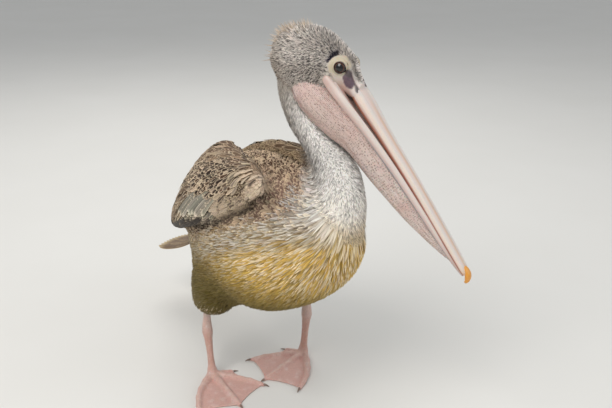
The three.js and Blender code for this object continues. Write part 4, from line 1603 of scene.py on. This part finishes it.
def lay_breast():
    gap, long, wide = COATS["breast"]
    roots = sample_skin(gap * MM, off_mantle, 13)
    low = in_mm(BODY, roots["co"])[:, 0] < BELLY_FROM
    for name, part, seed in (("coat_breast", ~low, 23), ("coat_belly", low, 24)):
        some = chosen(roots, part)
        length = short_of(some, long * MM, "wing")
        lay(name, some, "breast_feathers", vane_soft, length, wide * MM, "lance", 6, 2, seed=seed, jitter=0.1,
            colours=streaked(some, seed), uneven=0.3)


def lay_back():
    gap, long, wide = COATS["back"]
    roots = sample_skin(gap * MM, lambda c, w: wants("trunk")(c, w) * on_mantle(in_mm(BODY, c)), 14)
    tint, fringe, shaft = colours_of(roots)
    draw = np.random.default_rng(35).random(len(tint))
    tint = blend(tint, fringe, 0.75 * (draw < 0.25))
    length = short_of(roots, long * MM, "wing")
    lay("coat_back", roots, "wing_coverts", vane_spotted, length, wide * MM, "round", 5, 3, seed=24,
        jitter=0.25, uneven=0.5, colours=(tint, fringe, shaft))


PROBE_FROM, PROBE_REACH = 0.12, 0.3  # m outside the wing's line, where the look for its skin starts and ends
WING_RUN = 500  # mm along the wing's spine


def wing_roots(side, along, across):
    """Roots on the outer face of a folded wing, at shares along it and mm across it."""
    at = curve_through(spine_of_wing(side), along)
    at = at + up_wing(side) * across[:, None]
    outward = Vector((0, LEAN_UP * SIDES[side], LEAN_IN))
    found = []
    for share, point in zip(along, at):
        start = BODY.translation + Vector(point) * MM + outward * PROBE_FROM
        place, _, face, _ = skin_tree.ray_cast(start, -outward, PROBE_REACH)
        if place:
            found.append((place, skin_faces[face][0], share))
    vertex = np.array([v for _, v, _ in found])
    roots = {
        "co": np.array([p for p, _, _ in found]),
        "normal": skin_normal[vertex],
        "flow": skin_flow[vertex],
        "weights": region[vertex],
        "depth": sink_depth[vertex],
        "along": np.array([share for _, _, share in found]),
    }
    return chosen(roots, share_of(roots["weights"], "wing_" + side) > 0.4)


def tract(side, along, across, step, gap, seed):
    """Staggered rows of roots over part of a wing: from one share along it to another, rows gap mm apart."""
    local = np.random.default_rng(seed)
    places = []
    for index, row in enumerate(np.arange(across[0], across[1], -gap)):
        line = np.arange(along[0] + (index % 2) * step / (2 * WING_RUN), along[1], step / WING_RUN)
        places += [(a, row) for a in line]
    places = np.array(places)
    places = places + local.normal(0, 0.15, places.shape) * np.array([step / WING_RUN, gap])
    places = places[np.abs(places[:, 1]) < 0.96 * wing_reach(places[:, 0], places[:, 1])]
    return wing_roots(side, places[:, 0], places[:, 1])


def fall_back(roots, fall, fan=0.0):
    """Turns the flow downwards, more so along the wing."""
    down = np.array([0, 0, -1.0]) * (fall + fan * roots["along"])[:, None]
    roots["flow"] = onto_surface(roots["flow"] + down, roots["normal"])
    return roots


def open_wing(side):
    """Where the small feathers of a wing grow: not over the quills, which lie bare."""

    def wanted(co, weights):
        along, across, _ = wing_place(in_mm(BODY, co), side)
        quills = ramp(across, -0.3, -0.42) * ramp(along, 0.1, 0.14) * ramp(along, 0.4, 0.32)
        quills = np.maximum(quills, ramp(across, -0.72, -0.8) * ramp(along, 0.16, 0.2))
        return wants("wing_" + side)(co, weights) * (1 - 0.9 * quills)

    return wanted


EDGED = (vane_scaled, "round", "covert_brown", "covert_dark", "covert_edge")
SOFT = (vane_soft, "lance", "scapular", "covert_brown", "scapular_edge")
COVERTS = (  # name, along, mm across, step, gap, length, width, fall, fan, lift, finish
    ("tertials", (0.3, 0.74), (-18, -70), 9, 9, 52, 11, 0.55, 0.5, 1.4, SOFT),
    ("greater_coverts", (0.1, 0.34), (-10, -26), 9, 7, 20, 8, 0.55, 0.9, 2.6, EDGED),
    ("median_coverts", (0.06, 0.5), (8, -14), 8, 6.5, 19, 6.6, 0.45, 0.8, 2.9, EDGED),
    ("lesser_coverts", (0.03, 0.5), (44, 6), 7, 5.5, 16, 5.6, 0.35, 0.8, 2.6, EDGED),
    ("scapulars", (0.12, 0.84), (78, 30), 10, 7.5, 36, 8, 0.25, 0.8, 3.2, SOFT),
)


def lay_wing(side):
    """Small feathers all over, then the overlapping rows of the outer face."""
    gap, long, wide = COATS["wing"]
    base = sample_skin(gap * MM, open_wing(side), 15)
    base["flow"] = onto_surface(base["flow"] + np.array([0, 0, -0.35]), base["normal"])
    along, _, _ = wing_place(in_mm(BODY, base["co"]), side)
    length = (long - 5 * ramp(along, 0.12, 0.03)) * MM
    lay("coat_wing_" + side, base, "wing_coverts", vane_soft, length, wide * MM, "round", 5, 3, seed=25,
        jitter=0.15, rise=0.7)
    for index, (name, along, across, step, gap, length, width, fall, fan, lift, finish) in enumerate(COVERTS):
        material, shape, first, second, rim = finish
        roots = fall_back(tract(side, along, across, step, gap, 40 + index), fall, fan)
        count = len(roots["co"])
        draw = np.random.default_rng(45 + index).random(count)
        plain = np.random.default_rng(48 + index).random(count) > 0.3
        tint, fringe, shaft = colours_of(roots)
        vane = coats(
            first,
            (second, (draw > 0.45) * 0.9),
            (rim, 0.8 * (draw < 0.18)),
            # painted light: the far wing lighter and more olive than the near one
            ("far_brown", 0.4 if side == "left" else 0),
            ("wrist_cream", 0.8 * ramp(roots["along"], 0.11, 0.04) * plain),
        )
        colours = (blend(tint, vane, 0.85), coats(fringe, (rim, 0.6)), shaft)
        lay(f"{name}_{side}", roots, "wing_coverts", material, length * MM, width * MM, shape, 7, 5,
            seed=50 + index, jitter=0.12, lift=lift * MM, rise=0.5, uneven=0.45, colours=colours)


QUILLS = (  # name, along, share across, length, width, vane, rim, fall, fan, lift
    ("primaries", np.linspace(0.2, 0.74, 18), -0.93, 88, 13, "quill_dark", "quill_edge", 0.05, 0.6, 2.6),
    ("secondaries", np.linspace(0.12, 0.26, 8), -0.3, 62, 12, "mirror_grey", "cream", 1.15, 0, 1.8),
)


def lay_flight(side):
    """The long quills: pale inner ones under the coverts, dark ones along the lower edge to the tip."""
    for index, (name, along, share, length, width, vane, rim, fall, fan, lift) in enumerate(QUILLS):
        below = share * wing_reach(along, np.full(len(along), -1))
        roots = fall_back(wing_roots(side, along, below), fall, fan)
        worn = np.random.default_rng(65 + index).random(len(roots["co"]))[:, None]
        colours = (PAINT[vane] * (0.75 + 0.5 * worn), PAINT[rim], PAINT["quill_dark"])
        lay(f"{name}_{side}", roots, "flight_feathers", vane_flight, length * MM, width * MM, "blade", 16, 7,
            seed=60 + index, jitter=0.03, lift=lift * MM, rise=0.3, colours=colours, uneven=0.15)


def free_vanes(name, slot, material, roots, tips, ups, width, bow, shape, colours, rows, columns, seed):
    """Vanes that stand off the body, each in a shallow arc from its root to its tip. Places in mm."""
    local = np.random.default_rng(seed)
    s = np.linspace(0, 1, rows + 1)[None, :, None]
    roots, tips, ups = np.array(roots, float), np.array(tips, float), unit(np.array(ups, float))
    spine = roots[:, None] * (1 - s) + tips[:, None] * s + ups[:, None] * (bow * 4 * s * (1 - s))
    spine = spine * MM + np.array(BODY.translation)
    count = len(roots)
    half = np.full(count, width * MM / 2)[:, None] * SHAPES[shape](s[:, :, 0])
    over = np.repeat(ups[:, None], rows + 1, axis=1)
    shade = 1 + 0.2 * (local.random((count, 1)) - 0.5)
    colours = [colour * shade for colour in colours]
    weights = np.zeros((count, len(FEATHERED)))
    weights[:, REGION["trunk"]] = 1
    patch = unwrap(spine[:, 0], weights, over[:, 0])
    tilt = local.normal(0, 0.04, count)
    return join_vanes(name, slot, material, spine, over, half, columns, FREE_CAMBER, tilt, colours, patch)


def lay_tail():
    """Twenty stiff tail feathers in a shallow fan, with soft coverts over and under their roots."""
    fan = np.linspace(-1, 1, 20)
    roots = [(-178, 24 * f, 198 - 5 * abs(f)) for f in fan]
    tips = [(-372 + 22 * f * f, 64 * f, 106 - 4 * f * f) for f in fan]
    ups = [(-0.45, 0.42 * f**3, 0.85) for f in fan]
    lifted = np.array(roots) + np.array([0, 0, 1.0]) * (5 - 9 * np.abs(fan))[:, None]
    colours = (PAINT["scapular"] * 0.85, PAINT["plume_buff"], PAINT["covert_dark"])
    free_vanes("tail_feathers", "flight_feathers", vane_flight, lifted, tips, ups, 19, -14, "blade", colours,
               16, 7, 71)
    local = np.random.default_rng(72)
    for name, slot, sign, paints in (
        ("tail_coverts_above", "wing_coverts", 1, ("scapular", "covert_edge", "covert_dark")),
        ("tail_coverts_below", "breast_feathers", -1, ("buff", "cream", "ash")),
    ):
        roots, tips, ups = [], [], []
        for _ in range(130):
            f, back = local.uniform(-1, 1), local.random()
            x = -158 - 62 * back
            z = np.interp(x, (-234, -178, -140), (180, 204, 222)) + sign * (16 - 12 * back)
            roots.append((x, 30 * f, z))
            tips.append((x - 52 - 8 * local.random(), 40 * f, z - 24 - sign * (6 + 3 * back)))
            ups.append((-0.3 * sign, 0.3 * f, 0.9 * sign))
        colours = [PAINT[paint] for paint in paints]
        free_vanes(name, slot, vane_soft, roots, tips, ups, 13, 3, "lance", colours, 7, 5, 73)


THIGH_TOP = 150  # mm above the floor: the flanks' feathers are the breast's


def lay_thighs():
    gap, long, wide = COATS["thighs"]
    roots = sample_skin(gap * MM, wants("thigh"), 16)
    roots = chosen(roots, in_mm(BODY, roots["co"])[:, 2] < THIGH_TOP)
    tint, fringe, shaft = colours_of(roots)
    lay("coat_thighs", roots, "breast_feathers", plush, long * MM, wide * MM, "tuft", 5, 2, seed=26,
        jitter=0.25, rise=0.8, colours=(tint * np.array([1.6, 1.32, 1.0]), fringe, shaft))


lay_head()
lay_neck()
lay_breast()
lay_back()
for wing_side in SIDES:
    lay_wing(wing_side)
    lay_flight(wing_side)
lay_tail()
lay_thighs()

# --- Floor, light and camera ------------------------------------------------------------------------

LAMPS = (  # name, place, side in m, watts, colour
    ("key", (0.9, -1.5, 2.2), 1.6, 42, (1.0, 0.97, 0.93)),
    ("fill", (1.6, 1.6, 1.4), 1.8, 12, (0.95, 0.98, 1.0)),
    ("rim", (-1.6, 0.4, 2.0), 1.4, 20, (1.0, 0.98, 0.94)),
)
LAMPS_AIM = Vector((0, 0, 0.3))
FLOOR_HALF = 6  # m


def build_stage():
    bm = bmesh.new()
    bmesh.ops.create_grid(bm, x_segments=1, y_segments=1, size=FLOOR_HALF)
    floor = new_object("floor", mesh_of(bm, "floor"))
    floor.data.materials.append(floor_material())
    world = bpy.data.worlds.new("studio")
    world.use_nodes = True
    sky = world.node_tree.nodes["Background"].inputs
    sky["Color"].default_value, sky["Strength"].default_value = (0.96, 0.98, 1.0, 1), 0.5
    bpy.context.scene.world = world
    for name, place, size, power, colour in LAMPS:
        light = bpy.data.lights.new(name, "AREA")
        light.size, light.energy, light.color = size, power, colour
        lamp = new_object(name, light)
        lamp.location = place
        lamp.rotation_euler = (LAMPS_AIM - Vector(place)).to_track_quat("-Z", "Y").to_euler()


LENS, SENSOR = 50.59, 36  # mm
CAMERA_AT = (1.2202, -0.5185, 0.76)
CAMERA_AHEAD, CAMERA_RIGHT = Vector((-0.8446, 0.4119, -0.342)), Vector((0.4384, 0.8988, 0))


def build_camera():
    lens = bpy.data.cameras.new("camera")
    lens.lens, lens.sensor_width = LENS, SENSOR
    camera = bpy.data.objects.new("camera", lens)
    ahead, right = CAMERA_AHEAD.normalized(), CAMERA_RIGHT.normalized()
    camera.matrix_world = Matrix((right, right.cross(ahead), -ahead)).transposed().to_4x4()
    camera.location = CAMERA_AT
    bpy.context.scene.collection.objects.link(camera)
    bpy.context.scene.camera = camera


build_stage()
build_camera()
bpy.context.scene.view_settings.view_transform = "Standard"
